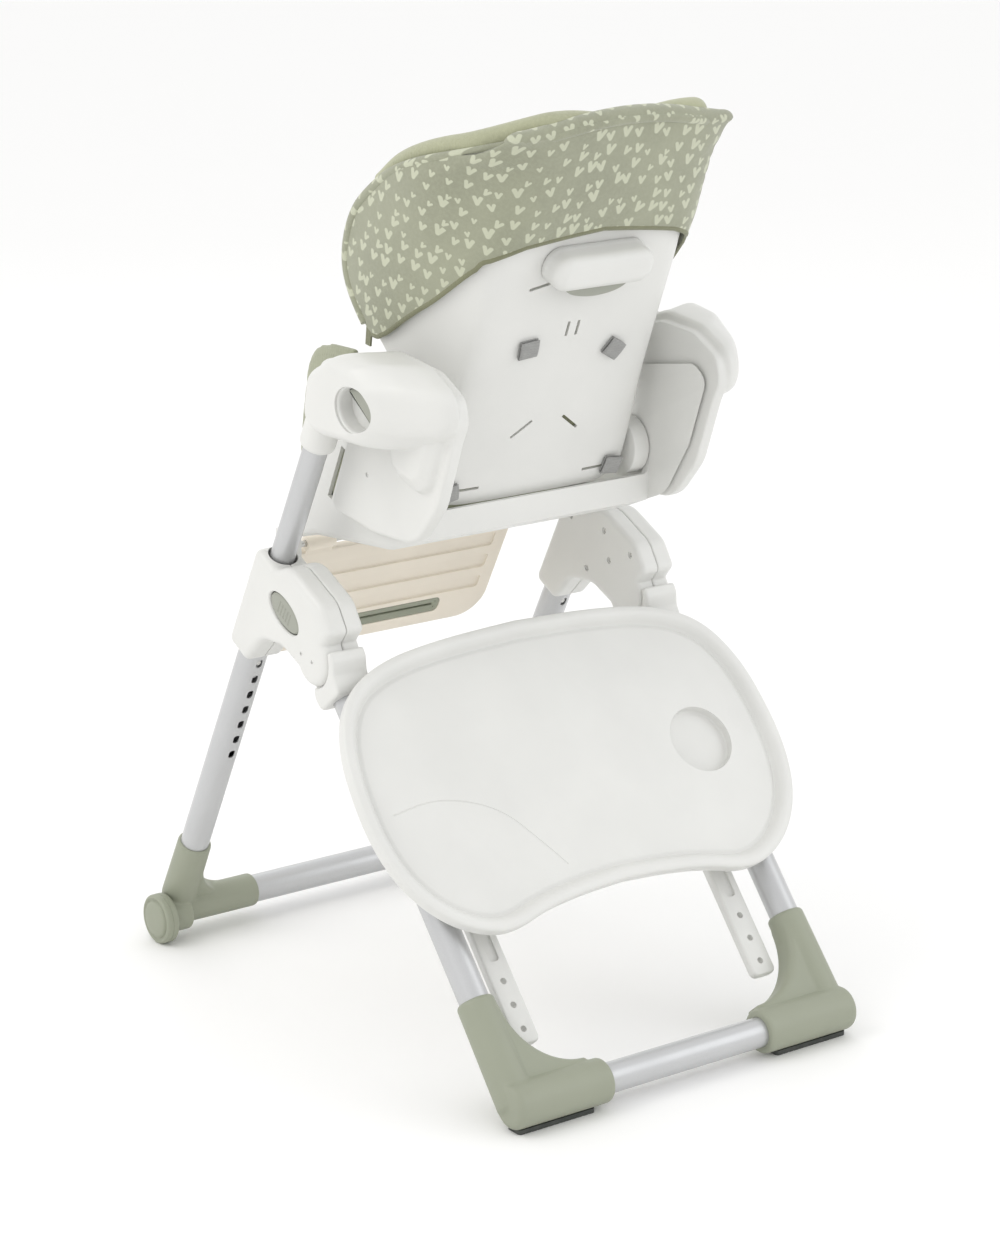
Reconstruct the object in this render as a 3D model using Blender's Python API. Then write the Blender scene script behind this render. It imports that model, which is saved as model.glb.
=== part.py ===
"""Folding baby high chair: tube frame, height-adjustable seat, reclining back, leg rest and stowed tray.

Metres, +Z up. The child faces -Y, +X is the child's left, and the origin is on the floor under the
middle of the open chair. Every moving piece hangs from an empty that stands on its joint's axis.
"""

import math

import bmesh
import bpy
from mathutils import Vector

# Frame
HALF_TRACK = 0.23
TUBE_R = 0.018
TUBE_WALL = 0.0015
UPPER_TUBE_R = 0.015
GAP = 0.0003
FRONT_FOOT_Y = -0.3975
FRONT_LEAN = math.radians(27.33)
REAR_FOOT_Y = 0.3851
REAR_LEAN = math.radians(40.5)
FOLD_Z = 0.462
SLOT_PITCH = 0.025
SLOT_COUNT = 7
TOP_SLOT_T = 0.475
LOWER_TUBE_TOP_T = 0.615
WHEEL_R = 0.032
WHEEL_Y = -0.360
FRONT_BAR = (-0.372, 0.036)
REAR_BAR = (0.3695, 0.031)
CROSSBAR_HALF = 0.205

# Leg joint housing, as distances across the chair
COVER_IN = 0.206
COVER_OUT = 0.257
COVER_FACE = 0.0035
COVER_SLEEVE = 0.0220
KNUCKLE_HALF = 0.0193
HUB_R = 0.033
FOLD_BUTTON_AT = (-0.066, 0.505)

# Seat and back
SEAT_HALF = 0.178
SEAT_WALL = 0.0055
LIP_Y = 0.072
LIP_Z = 0.640
ARM_SKIRT = 0.195
ARM_FLOOR = 0.2445
HEIGHT_BUTTON_AT = (0.096, 0.780)
SIDE_SLOT = 0.009
BACK_LEAN = math.atan(0.41)
BACK_FOOT = Vector((0, 0.066, 0.639))
BACK_TOP_S = 0.504
BACK_THICK = 0.004
RECLINE_AT = Vector((0, 0.046, 0.672))
PIN_INNER = 0.1585
LEG_REST_AT = Vector((0, -0.197, 0.543))
LEG_REST_DIR = Vector((0, -0.09, -0.17)).normalized()
LEG_REST_HALF = 0.176
LEG_REST_LONG = 0.178

# Tray, stowed on the rear legs
TRAY_LIFT = 0.050
TRAY_T = -0.405
ARM_X = 0.176
ARM_HALF = 0.0165
ROUND_STEPS = 16

X = Vector((1, 0, 0))
FRONT_UP = Vector((0, math.sin(FRONT_LEAN), math.cos(FRONT_LEAN)))
FRONT_OUT = Vector((0, math.cos(FRONT_LEAN), -math.sin(FRONT_LEAN)))
REAR_UP = Vector((0, -math.sin(REAR_LEAN), math.cos(REAR_LEAN)))
REAR_OUT = Vector((0, math.cos(REAR_LEAN), math.sin(REAR_LEAN)))
BACK_UP = Vector((0, math.sin(BACK_LEAN), math.cos(BACK_LEAN)))
BACK_IN = Vector((0, -math.cos(BACK_LEAN), math.sin(BACK_LEAN)))
LEG_REST_OUT = X.cross(LEG_REST_DIR)
FOLD_AT = Vector((0, REAR_FOOT_Y - FOLD_Z * math.tan(REAR_LEAN), FOLD_Z))

MATERIALS = {
    "white_plastic": ((0.84, 0.84, 0.80, 1), 0.38, 0.0),
    "sage_plastic": ((0.33, 0.37, 0.27, 1), 0.5, 0.0),
    "grey_tube": ((0.58, 0.60, 0.61, 1), 0.35, 0.5),
    "steel": ((0.60, 0.60, 0.60, 1), 0.3, 1.0),
    "dark_rubber": ((0.08, 0.09, 0.08, 1), 0.8, 0.0),
    "button_plastic": ((0.42, 0.45, 0.39, 1), 0.45, 0.0),
    "cream_plastic": ((0.78, 0.70, 0.58, 1), 0.45, 0.0),
    "sage_fabric": ((0.30, 0.33, 0.23, 1), 0.9, 0.0),
    "webbing": ((0.50, 0.50, 0.48, 1), 0.85, 0.0),
}


def make_materials():
    made = {}
    for name, (colour, roughness, metallic) in MATERIALS.items():
        material = bpy.data.materials.new(name)
        material.use_nodes = True
        shader = material.node_tree.nodes["Principled BSDF"]
        shader.inputs["Base Color"].default_value = colour
        shader.inputs["Roughness"].default_value = roughness
        shader.inputs["Metallic"].default_value = metallic
        made[name] = material
    return made


# Places


def on_front(x, t, n=0.0):
    """A point t up the front legs' line, n behind it."""
    return Vector((x, FRONT_FOOT_Y, 0)) + FRONT_UP * t + FRONT_OUT * n


def on_rear(x, t, n=0.0):
    """A point t up the rear legs' line, n above it."""
    return Vector((x, REAR_FOOT_Y, 0)) + REAR_UP * t + REAR_OUT * n


def on_back(x, s, w=0.0):
    """A point s up the back rest's rear face, w in front of it."""
    return Vector((x, 0, 0)) + BACK_FOOT + BACK_UP * s + BACK_IN * w


def on_leg_rest(x, p, q=0.0):
    """A point p down the leg rest, q in front of its middle plane."""
    return Vector((x, 0, 0)) + LEG_REST_AT + LEG_REST_DIR * p - LEG_REST_OUT * q


def side_view(a, b, h):
    """An outline drawn in Y and Z, h across the chair."""
    return Vector((h, a, b))


# Outlines and solids


def rounded(corners, step=math.radians(36)):
    """A closed outline from (a, b, radius) corners, each turned into an arc."""
    points = []
    for i, (a, b, radius) in enumerate(corners):
        here = Vector((a, b))
        before = Vector(corners[i - 1][:2])
        after = Vector(corners[(i + 1) % len(corners)][:2])
        if radius == 0:
            points.append(here)
            continue
        back, ahead = (before - here).normalized(), (after - here).normalized()
        half = back.angle(ahead) / 2
        centre = here + (back + ahead).normalized() * radius / math.sin(half)
        first = here + back * radius / math.tan(half) - centre
        turn = first.angle_signed(here + ahead * radius / math.tan(half) - centre)
        count = max(1, math.ceil(abs(turn) / step))
        for k in range(count + 1):
            angle = -turn * k / count
            spun = Vector((
                first.x * math.cos(angle) - first.y * math.sin(angle),
                first.x * math.sin(angle) + first.y * math.cos(angle),
            ))
            points.append(centre + spun)
    return points


def box_outline(low_a, low_b, high_a, high_b, radius):
    """A rectangle with round corners."""
    corners = ((low_a, low_b), (high_a, low_b), (high_a, high_b), (low_a, high_b))
    return rounded([(a, b, radius) for a, b in corners])


def ellipse(a, b, half_a, half_b, turn=0.0, count=ROUND_STEPS):
    points = []
    for k in range(count):
        angle = 2 * math.pi * k / count
        u, v = half_a * math.cos(angle), half_b * math.sin(angle)
        points.append(Vector((
            a + u * math.cos(turn) - v * math.sin(turn),
            b + u * math.sin(turn) + v * math.cos(turn),
        )))
    return points


def area(outline):
    return sum(p.cross(q) for p, q in zip(outline, outline[1:] + outline[:1])) / 2


def inset(outline, distance):
    """The outline moved inwards by a distance, or outwards by a negative one."""
    turned = 1 if area(outline) > 0 else -1
    moved = []
    for i, here in enumerate(outline):
        back = (here - outline[i - 1]).normalized()
        ahead = (outline[(i + 1) % len(outline)] - here).normalized()
        normal = Vector((-(back.y + ahead.y), back.x + ahead.x)).normalized()
        lean = max(normal.dot(Vector((-back.y, back.x))), 0.5)
        moved.append(here + normal * turned * distance / lean)
    return moved


def loft(rings, ring_closed=False):
    """A solid through rings of equal length; it has flat ends, or is itself a ring."""
    bm = bmesh.new()
    rows = [[bm.verts.new(point) for point in ring] for ring in rings]
    pairs = list(zip(rows, rows[1:]))
    if ring_closed:
        pairs.append((rows[-1], rows[0]))
    for low, high in pairs:
        for i in range(len(low)):
            bm.faces.new((low[i - 1], low[i], high[i], high[i - 1]))
    if not ring_closed:
        bm.faces.new(rows[0])
        bm.faces.new(rows[-1])
    return outward(bm)


def outward(bm):
    bmesh.ops.recalc_face_normals(bm, faces=bm.faces)
    if bm.calc_volume(signed=True) < 0:
        bmesh.ops.reverse_faces(bm, faces=bm.faces)
    return bm


def pillow(outline, low, high, place=side_view, low_r=0.0, high_r=0.0, steps=2):
    """An outline between two heights, with a rounded edge of its own radius at each end."""
    sign = 1 if high > low else -1
    levels = [(away, low + sign * rise) for away, rise in edge_arc(low_r, steps)]
    levels += [(away, high - sign * rise) for away, rise in reversed(edge_arc(high_r, steps))]
    return loft([[place(p.x, p.y, height) for p in inset(outline, away)] for away, height in levels])


def edge_arc(radius, steps):
    """The (set in, height) steps of a rounded edge, from the flat end to the straight side."""
    if radius == 0:
        return [(0.0, 0.0)]
    angles = [math.pi / 2 * k / steps for k in range(steps + 1)]
    return [(radius * (1 - math.sin(angle)), radius * (1 - math.cos(angle))) for angle in angles]


def round_rings(start, end, radii, count=ROUND_STEPS):
    """Circles along a line at (distance, radius) pairs."""
    along = (end - start).normalized()
    side = along.cross(Vector((0.3, 0.5, 0.8))).normalized()
    other = along.cross(side)
    rings = []
    for distance, radius in radii:
        centre = start + along * distance
        rings.append([
            centre + (side * math.cos(angle) + other * math.sin(angle)) * radius
            for angle in (2 * math.pi * k / count for k in range(count))
        ])
    return rings


def rod(start, end, radius, chamfer=0.0, count=ROUND_STEPS):
    length = (end - start).length
    radii = [(0, radius), (length, radius)]
    if chamfer:
        radii = [(0, radius - chamfer), (chamfer, radius)]
        radii += [(length - chamfer, radius), (length, radius - chamfer)]
    return loft(round_rings(start, end, radii, count))


def pipe(start, end, radius, inner, count=ROUND_STEPS):
    length = (end - start).length
    profile = [(0, radius), (length, radius), (length, inner), (0, inner)]
    return loft(round_rings(start, end, profile, count), True)


def block(low, high):
    bm = bmesh.new()
    bmesh.ops.create_cube(bm, size=1)
    for vert in bm.verts:
        vert.co = Vector(low[i] + (vert.co[i] + 0.5) * (high[i] - low[i]) for i in range(3))
    return outward(bm)


def across(x0, x1, at, radius, count=ROUND_STEPS, chamfer=0.0):
    """A rod that runs across the chair through the (y, z) of a point."""
    return rod(Vector((x0, at[-2], at[-1])), Vector((x1, at[-2], at[-1])), radius, chamfer, count)


def bar(start, end, wide, half_wide, half_thick, normal):
    """A flat bar from start to end, wide along the direction wide, thick along normal."""
    rings = []
    for centre in (start, end):
        rings.append([
            centre + wide * half_wide * a + normal * half_thick * b
            for a, b in ((-1, -1), (1, -1), (1, 1), (-1, 1))
        ])
    return loft(rings)


# Objects


class Chair:
    """The empties of the bodies, and what each piece needs to be added to one."""

    def __init__(self):
        self.materials = make_materials()
        self.bodies = {}

    def body(self, name, at, parent=None):
        empty = bpy.data.objects.new(name + "_axis", None)
        empty.empty_display_size = 0.03
        bpy.context.scene.collection.objects.link(empty)
        empty.location = at
        if parent:
            empty.parent = self.bodies[parent][0]
            empty.location = at - self.bodies[parent][1]
        self.bodies[name] = (empty, Vector(at))

    def hang(self, name, bm, body):
        empty, at = self.bodies[body]
        bmesh.ops.translate(bm, verts=bm.verts, vec=-at)
        mesh = bpy.data.meshes.new(name)
        bm.to_mesh(mesh)
        bm.free()
        obj = bpy.data.objects.new(name, mesh)
        obj.parent = empty
        bpy.context.scene.collection.objects.link(obj)
        return obj

    def add(self, name, bm, material, body, joined=(), cut=()):
        """A piece on a body: other solids are joined to it, then cutters are taken out."""
        obj = self.hang(name, bm, body)
        obj.data.materials.append(self.materials[material])
        obj.data.shade_smooth()
        obj.data.set_sharp_from_angle(angle=math.radians(32))
        for operation, tools in (("UNION", joined), ("DIFFERENCE", cut)):
            for i, tool in enumerate(tools):
                helper = self.hang(f"{name}_{operation.lower()}_{i}", tool, body)
                helper.hide_render = True
                helper.display_type = "WIRE"
                modifier = obj.modifiers.new(helper.name, "BOOLEAN")
                modifier.operation = operation
                modifier.solver = "EXACT"
                modifier.object = helper
        return obj


def side_name(name, side):
    return f"{name}_{'left' if side > 0 else 'right'}"


# Front frame


def front_leg(chair, side):
    x = side * HALF_TRACK
    slots = []
    for k in range(SLOT_COUNT):
        t = TOP_SLOT_T - k * SLOT_PITCH
        centre = on_front(x, t, TUBE_R)
        reach = FRONT_UP * 0.006
        slots.append(bar(centre - reach, centre + reach, X, 0.004, 0.006, FRONT_OUT))
    tube = pipe(on_front(x, 0.055), on_front(x, LOWER_TUBE_TOP_T), TUBE_R, TUBE_R - TUBE_WALL)
    chair.add(side_name("front_leg_tube", side), tube, "grey_tube", "front_frame", cut=slots)
    bush = pipe(
        on_front(x, LOWER_TUBE_TOP_T - 0.045),
        on_front(x, LOWER_TUBE_TOP_T - 0.001),
        TUBE_R - TUBE_WALL - GAP,
        UPPER_TUBE_R + GAP,
    )
    chair.add(side_name("telescope_bush", side), bush, "white_plastic", "front_frame")


def gusset(side, place, tops, reach, depth, thick):
    """The web that fills the inner corner of a foot between its leg sleeve and its bar sleeve."""
    top_x, top_t = tops
    reach_x, low_t = reach
    outer_x = HALF_TRACK + 0.010
    points = [Vector((side * a, b)) for a, b in ((outer_x, low_t), (outer_x, top_t), (top_x, top_t))]
    for k in range(1, 8):
        angle = math.pi / 2 * k / 8
        a = reach_x + (top_x - reach_x) * math.cos(angle)
        b = low_t + depth + (top_t - low_t - depth) * (1 - math.sin(angle))
        points.append(Vector((side * a, b)))
    points.append(Vector((side * reach_x, low_t + depth)))
    points.append(Vector((side * reach_x, low_t)))
    return pillow(points, -thick, thick, place, 0.004, 0.004, 2)


def foot_bar(at, x0, x1, radius, side):
    """A foot's sleeve on a crossbar, with a small chamfer inside and a larger one outside."""
    start, end = Vector((side * x0, *at)), Vector((side * x1, *at))
    length = (end - start).length
    profile = [(0, radius - 0.002), (0.002, radius), (length - 0.004, radius), (length, radius - 0.004)]
    return loft(round_rings(start, end, profile))


def front_foot(chair, side):
    """The foot that joins a front leg to the front crossbar and carries a wheel."""
    x = side * HALF_TRACK
    sleeve_profile = [(0, 0.0140), (0.010, 0.0195), (0.03, 0.0225), (0.121, 0.0215), (0.123, 0.0198)]
    sleeve = loft(round_rings(on_front(x, 0.034), on_front(x, 0.157), sleeve_profile))
    web = gusset(side, on_front, (0.2105, 0.118), (0.150, 0.030), 0.026, 0.014)
    bar_sleeve = foot_bar(FRONT_BAR, 0.119, 0.2515, 0.0215, side)
    axle_at = (WHEEL_Y, WHEEL_R)
    boss = across(side * 0.225, side * 0.2525, axle_at, 0.021, chamfer=0.002)
    cuts = [
        rod(on_front(x, 0.055 - GAP), on_front(x, 0.2), TUBE_R + GAP),
        across(side * 0.1, side * (CROSSBAR_HALF + GAP), FRONT_BAR, TUBE_R + GAP),
        across(side * 0.2335, side * 0.27, axle_at, 0.0043),
    ]
    name = side_name("front_foot", side)
    chair.add(name, sleeve, "sage_plastic", "front_frame", [web, bar_sleeve, boss], cuts)
    axle = across(side * 0.234, side * 0.268, axle_at, 0.004)
    chair.add(side_name("wheel_axle", side), axle, "steel", "front_frame")


def wheel(chair, side):
    """A turned wheel whose blind bore takes the axle."""
    start = Vector((side * 0.2535, WHEEL_Y, WHEEL_R))
    end = Vector((side * 0.2735, WHEEL_Y, WHEEL_R))
    rings = round_rings(start, end, [
        (0.015, 0.0043), (0, 0.0043), (0, 0.014), (0, 0.029), (0.0025, WHEEL_R), (0.0145, WHEEL_R),
        (0.0175, 0.030), (0.0165, 0.0240), (0.0195, 0.0225), (0.020, 0.016),
    ], 24)
    chair.add(side_name("wheel", side), loft(rings), "sage_plastic", side_name("wheel", side))


def cover_outline():
    """The leg joint housing from the side: a sleeve on the front leg and an arm out to the fold pivot."""
    low_t, top_t, half = 0.488, 0.634, COVER_SLEEVE
    low_front, low_back = on_front(0, low_t, -half), on_front(0, low_t, half)
    top_back, top_front = on_front(0, top_t, half), on_front(0, top_t, -half)
    lobe = [
        Vector((FOLD_AT.y + HUB_R * math.cos(angle), FOLD_AT.z + HUB_R * math.sin(angle)))
        for angle in (math.radians(degrees) for degrees in range(-150, 41, 38))
    ]
    under = [
        (low_front.y, low_front.z, 0.010),
        (low_back.y, low_back.z, 0.010),
        (-0.118, 0.460, 0.03),
        (-0.075, 0.462, 0.03),
    ]
    over = [
        (0.030, 0.501, 0.008),
        (0.010, 0.532, 0.03),
        (-0.055, 0.564, 0.04),
        (top_back.y, top_back.z, 0.010),
        (top_front.y, top_front.z, 0.010),
    ]
    points = rounded_run((top_front.y, top_front.z), under, lobe[0])
    return points + lobe + rounded_run(lobe[-1], over, (low_front.y, low_front.z))


def rounded_run(before, corners, after):
    """The arcs of some corners between two neighbouring points that are left out."""
    return rounded([(*before, 0)] + corners + [(*after, 0)])[1:-1]


def corridor():
    """The room inside the housing that the knuckle turns through, open downwards."""
    radius = KNUCKLE_HALF + 0.0075
    first = REAR_LEAN
    last = math.pi - FRONT_LEAN
    points = []
    for k in range(9):
        angle = first + (last - first) * k / 8
        points.append(Vector((FOLD_AT.y + radius * math.cos(angle), FOLD_AT.z + radius * math.sin(angle))))
    points.append(points[-1] + Vector((-math.sin(FRONT_LEAN), -math.cos(FRONT_LEAN))) * 0.12)
    points.append(points[0] + Vector((math.sin(REAR_LEAN), -math.cos(REAR_LEAN))) * 0.12)
    return points


def cover_holes(side):
    """Blind screw holes in the inner cover."""
    places = ((-0.118, 0.541), (-0.085, 0.480), (-0.050, 0.536), (-0.040, 0.500), (0.002, 0.516))
    holes = [ellipse(a, b, 0.0035, 0.0035, count=8) for a, b in places]
    return [pillow(hole, side * (COVER_IN - 0.001), side * (COVER_IN + 0.0025)) for hole in holes]


def joint_covers(chair, side):
    """The two halves of a leg joint's housing, the pin through them and the fold button."""
    outline = cover_outline()
    inner = inset(outline, 0.004)
    middle = HALF_TRACK
    button = ellipse(*FOLD_BUTTON_AT, 0.034, 0.0175, -0.5)

    def leg_bore():
        return rod(on_front(side * middle, 0.4), on_front(side * middle, 0.7), TUBE_R + GAP)

    outer = pillow(outline, side * (middle + GAP), side * COVER_OUT, high_r=0.007)
    cuts = [
        pillow(inner, side * (middle - 0.01), side * (COVER_OUT - COVER_FACE)),
        leg_bore(),
        pillow(corridor(), side * (middle - 0.01), side * (middle + KNUCKLE_HALF + 0.001)),
        pillow(button, side * (COVER_OUT - 0.014), side * (COVER_OUT + 0.016)),
    ]
    name = side_name("leg_joint_outer_cover", side)
    chair.add(name, outer, "white_plastic", "front_frame", cut=cuts)
    facing = pillow(outline, side * COVER_IN, side * (middle - GAP), low_r=0.004)
    cuts = cover_holes(side) + [
        pillow(inner, side * (COVER_IN + COVER_FACE), side * (middle + 0.01)),
        leg_bore(),
        pillow(corridor(), side * (middle - KNUCKLE_HALF - 0.001), side * (middle + 0.01)),
    ]
    name = side_name("leg_joint_inner_cover", side)
    chair.add(name, facing, "white_plastic", "front_frame", cut=cuts)
    pin_in = COVER_IN + COVER_FACE + GAP
    pin_out = COVER_OUT - COVER_FACE - GAP
    pin = across(side * pin_in, side * pin_out, FOLD_AT, 0.005, 20)
    chair.add(side_name("fold_pivot_pin", side), pin, "steel", "front_frame")
    name = side_name("fold_button", side)
    low, high = side * (COVER_OUT - 0.0105), side * (COVER_OUT - 0.0015)
    push = pillow(inset(button, 0.0006), low, high, high_r=0.002)
    chair.add(name, push, "button_plastic", name)


def front_frame(chair):
    chair.body("front_frame", Vector((0, 0, 0)))
    chair.add("front_crossbar", crossbar(FRONT_BAR), "grey_tube", "front_frame")
    for side in (1, -1):
        chair.body(side_name("wheel", side), Vector((side * 0.2635, WHEEL_Y, WHEEL_R)), "front_frame")
        button_at = Vector((side * (COVER_OUT - 0.0015), *FOLD_BUTTON_AT))
        chair.body(side_name("fold_button", side), button_at, "front_frame")
        front_leg(chair, side)
        front_foot(chair, side)
        wheel(chair, side)
        joint_covers(chair, side)


def crossbar(at):
    start, end = Vector((-CROSSBAR_HALF, *at)), Vector((CROSSBAR_HALF, *at))
    return pipe(start, end, TUBE_R, TUBE_R - TUBE_WALL)


# Rear frame


def rear_side_view(a, b, h):
    """An outline drawn against the rear leg, b up it and a above it, h across the chair."""
    return on_rear(h, b, a)


def rear_leg(chair, side):
    """A rear leg tube and the moulded knuckle that turns on the fold pivot."""
    x = side * HALF_TRACK
    pivot_t = FOLD_Z / math.cos(REAR_LEAN)
    tube_top_t = pivot_t - 0.014
    tube = pipe(on_rear(x, 0.040), on_rear(x, tube_top_t), TUBE_R, TUBE_R - TUBE_WALL)
    chair.add(side_name("rear_leg_tube", side), tube, "grey_tube", "rear_frame")
    low_t = pivot_t - 0.058
    half = KNUCKLE_HALF + 0.0045
    tongue = [Vector((half, low_t + 0.01)), Vector((half, pivot_t))]
    tongue += [
        Vector((half * math.cos(a), pivot_t + half * math.sin(a)))
        for a in (math.pi * k / 10 for k in range(1, 10))
    ]
    tongue += [Vector((-half, pivot_t)), Vector((-half, low_t + 0.01))]
    knuckle_in, knuckle_out = side * (HALF_TRACK - KNUCKLE_HALF), side * (HALF_TRACK + KNUCKLE_HALF)
    knuckle = pillow(tongue, knuckle_in, knuckle_out, rear_side_view)
    edge = HUB_R + 0.001
    cap = [
        Vector((edge * math.sin(a), pivot_t - edge * math.cos(a)))
        for a in (math.radians(angle) for angle in range(-36, 78, 11))
    ]
    cap += [
        Vector((a, pivot_t + b))
        for a, b in (
            (0.0405, -0.012), (0.0385, -0.0235), (0.029, -0.036), (0.0265, -0.050),
            (0.0235, -0.058), (-0.020, -0.058), (-0.025, -0.052), (-0.026, -0.038),
        )
    ]
    cap_in, cap_out = side * (COVER_IN + 0.001), side * (COVER_OUT - 0.001)
    wide = pillow(cap, cap_in, cap_out, rear_side_view, 0.003, 0.0035)
    cuts = [
        rod(on_rear(x, low_t - 0.02), on_rear(x, tube_top_t + GAP), TUBE_R + GAP),
        across(side * 0.19, side * 0.27, FOLD_AT, 0.0053, 20),
    ]
    chair.add(side_name("rear_knuckle", side), knuckle, "white_plastic", "rear_frame", [wide], cuts)


def rear_foot(chair, side):
    """The foot that joins a rear leg to the rear crossbar, its sole pad, and the leg's tray peg."""
    x = side * HALF_TRACK
    bar_y = REAR_BAR[0]
    sleeve_profile = [(0, 0.020), (0.006, 0.0245), (0.131, 0.0225), (0.1344, 0.0200)]
    sleeve = loft(round_rings(on_rear(x, 0.030), on_rear(x, 0.1644), sleeve_profile))
    web = gusset(side, on_rear, (0.2095, 0.150), (0.128, 0.0265), 0.038, 0.0182)
    bar_sleeve = foot_bar(REAR_BAR, 0.116, 0.2500, 0.0265, side)
    floor = block((-0.4, 0.2, -0.1), (0.4, 0.6, 0.0062))
    cuts = [
        floor,
        rod(on_rear(x, 0.040 - GAP), on_rear(x, 0.2), TUBE_R + GAP),
        across(side * 0.1, side * (CROSSBAR_HALF + GAP), REAR_BAR, TUBE_R + GAP),
    ]
    name = side_name("rear_foot", side)
    chair.add(name, sleeve, "sage_plastic", "rear_frame", [web, bar_sleeve], cuts)
    sole = box_outline(0.135, bar_y - 0.012, 0.242, bar_y + 0.012, 0.003)
    pad = pillow([Vector((side * p.x, p.y)) for p in sole], 0.0, 0.0059, lambda a, b, h: (a, b, h))
    chair.add(side_name("rear_foot_pad", side), pad, "dark_rubber", "rear_frame")
    peg_in = ARM_X + ARM_HALF + 0.0007
    peg = across(side * peg_in, side * (HALF_TRACK - TUBE_R - GAP), on_rear(0, 0.30), 0.006, chamfer=0.001)
    chair.add(side_name("tray_peg", side), peg, "white_plastic", "rear_frame")


def rear_frame(chair):
    chair.body("rear_frame", FOLD_AT, "front_frame")
    chair.add("rear_crossbar", crossbar(REAR_BAR), "grey_tube", "rear_frame")
    for side in (1, -1):
        rear_leg(chair, side)
        rear_foot(chair, side)


# Tray


def on_tray(a, b, h):
    """A tray point: b up the legs from the tray's middle, h above its rim plane."""
    return on_rear(a, -TRAY_T + b, TRAY_LIFT + h)


def tray_outline():
    """The tray from above: a bowed front, round ends and a shallow hollow on the child's side."""
    half = [
        (0.0, 0.182), (0.110, 0.178), (0.200, 0.166), (0.262, 0.135), (0.294, 0.075), (0.303, 0.0),
        (0.300, -0.060), (0.284, -0.112), (0.250, -0.156), (0.205, -0.182), (0.165, -0.186),
        (0.120, -0.172), (0.060, -0.164), (0.0, -0.161),
    ]
    curve = smooth([Vector(p) for p in half], 2)
    return curve + [Vector((-p.x, p.y)) for p in curve[-2:0:-1]]


def smooth(points, rounds):
    """An open run of points with its corners cut; its ends stay."""
    for _ in range(rounds - 1):
        cut = [points[0]]
        for p, q in zip(points, points[1:]):
            cut += [p * 0.75 + q * 0.25, p * 0.25 + q * 0.75]
        points = cut + [points[-1]]
    return points


def tray(chair):
    chair.body("tray", on_tray(0, 0, 0), "rear_frame")
    outline = tray_outline()
    profile = [
        (0.0085, -0.0125), (0.007, -0.017), (0.002, -0.017), (0.0, -0.004),
        (0.003, 0.0), (0.009, 0.0), (0.021, -0.0095),
    ]
    rings = [[on_tray(p.x, p.y, h) for p in inset(outline, away)] for away, h in profile]
    cup = Vector((-0.192, -0.014))
    well = pillow(ellipse(cup.x, cup.y, 0.046, 0.046), -0.0245, -0.011, on_tray, low_r=0.003, steps=2)
    dip = pillow(ellipse(cup.x, cup.y, 0.043, 0.043), -0.0215, 0.01, on_tray, low_r=0.003, steps=2)
    chair.add("tray_shell", loft(rings), "white_plastic", "tray", [well], [dip])
    base = box_outline(-0.135, -0.11, 0.135, 0.12, 0.02)
    plate = pillow(base, -0.030, -0.0128, on_tray, low_r=0.004, steps=2)
    wells = [pillow(inset(base, 0.012), -0.027, -0.0100, on_tray)]
    slot = pillow(box_outline(-0.045, 0.07, 0.045, 0.10, 0.008), -0.035, -0.012, on_tray)
    chair.add("tray_underplate", plate, "white_plastic", "tray", cut=wells + [slot])
    lever = pillow(box_outline(-0.040, 0.079, 0.040, 0.097, 0.006), -0.036, -0.0135, on_tray, low_r=0.003)
    chair.body("tray_release", on_tray(0, 0.088, -0.03), "tray")
    chair.add("tray_release_lever", lever, "button_plastic", "tray_release")
    for side in (1, -1):
        tray_arm(chair, side)


def tray_arm(chair, side):
    """An arm that plugs into the arm rest: it runs under the tray and on past the child's side."""

    def place(a, b, h):
        return on_tray(side * ARM_X + a, b, h)

    long = box_outline(-ARM_HALF, -0.303, ARM_HALF, 0.105, 0.008)
    arm = pillow(long, -0.0725, -0.0600, place, 0.003, 0.003)
    webs = []
    for low, high in ((-0.095, -0.072), (0.040, 0.095)):
        webs.append(pillow(box_outline(-0.005, low, 0.005, high, 0), -0.065, -0.0130, place))
    holes = [
        pillow(ellipse(0, b, 0.004, 0.004, count=12), -0.08, -0.05, place)
        for b in (-0.285, -0.255, -0.225)
    ]
    groove = pillow(box_outline(-0.007, -0.20, 0.007, -0.11, 0.005), -0.0635, -0.055, place)
    name = side_name("tray_arm", side)
    chair.add(name, arm, "white_plastic", "tray", webs, holes + [groove])


# Seat


def seat_outline():
    """The seat bucket from the side, front to the left."""
    return rounded([
        (-0.190, 0.556, 0.012),
        (-0.120, 0.575, 0.05),
        (0.035, 0.590, 0.05),
        (0.112, 0.622, 0.05),
        (0.155, 0.690, 0.06),
        (0.186, 0.775, 0.02),
        (0.160, 0.790, 0.02),
        (0.020, 0.765, 0.03),
        (-0.080, 0.742, 0.05),
        (-0.150, 0.662, 0.04),
        (-0.186, 0.590, 0.012),
    ])


def seat_hollow():
    """What the bucket is hollow by: open at the top, and at the back above the low rear lip."""
    return rounded([
        (-0.176, 0.566, 0.01),
        (-0.120, 0.5805, 0.05),
        (0.034, 0.596, 0.03),
        (LIP_Y, 0.612, 0.012),
        (LIP_Y, LIP_Z, 0),
        (0.260, LIP_Z, 0),
        (0.260, 0.900, 0),
        (-0.300, 0.900, 0),
        (-0.300, 0.612, 0),
        (-0.182, 0.604, 0.01),
    ])


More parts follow.
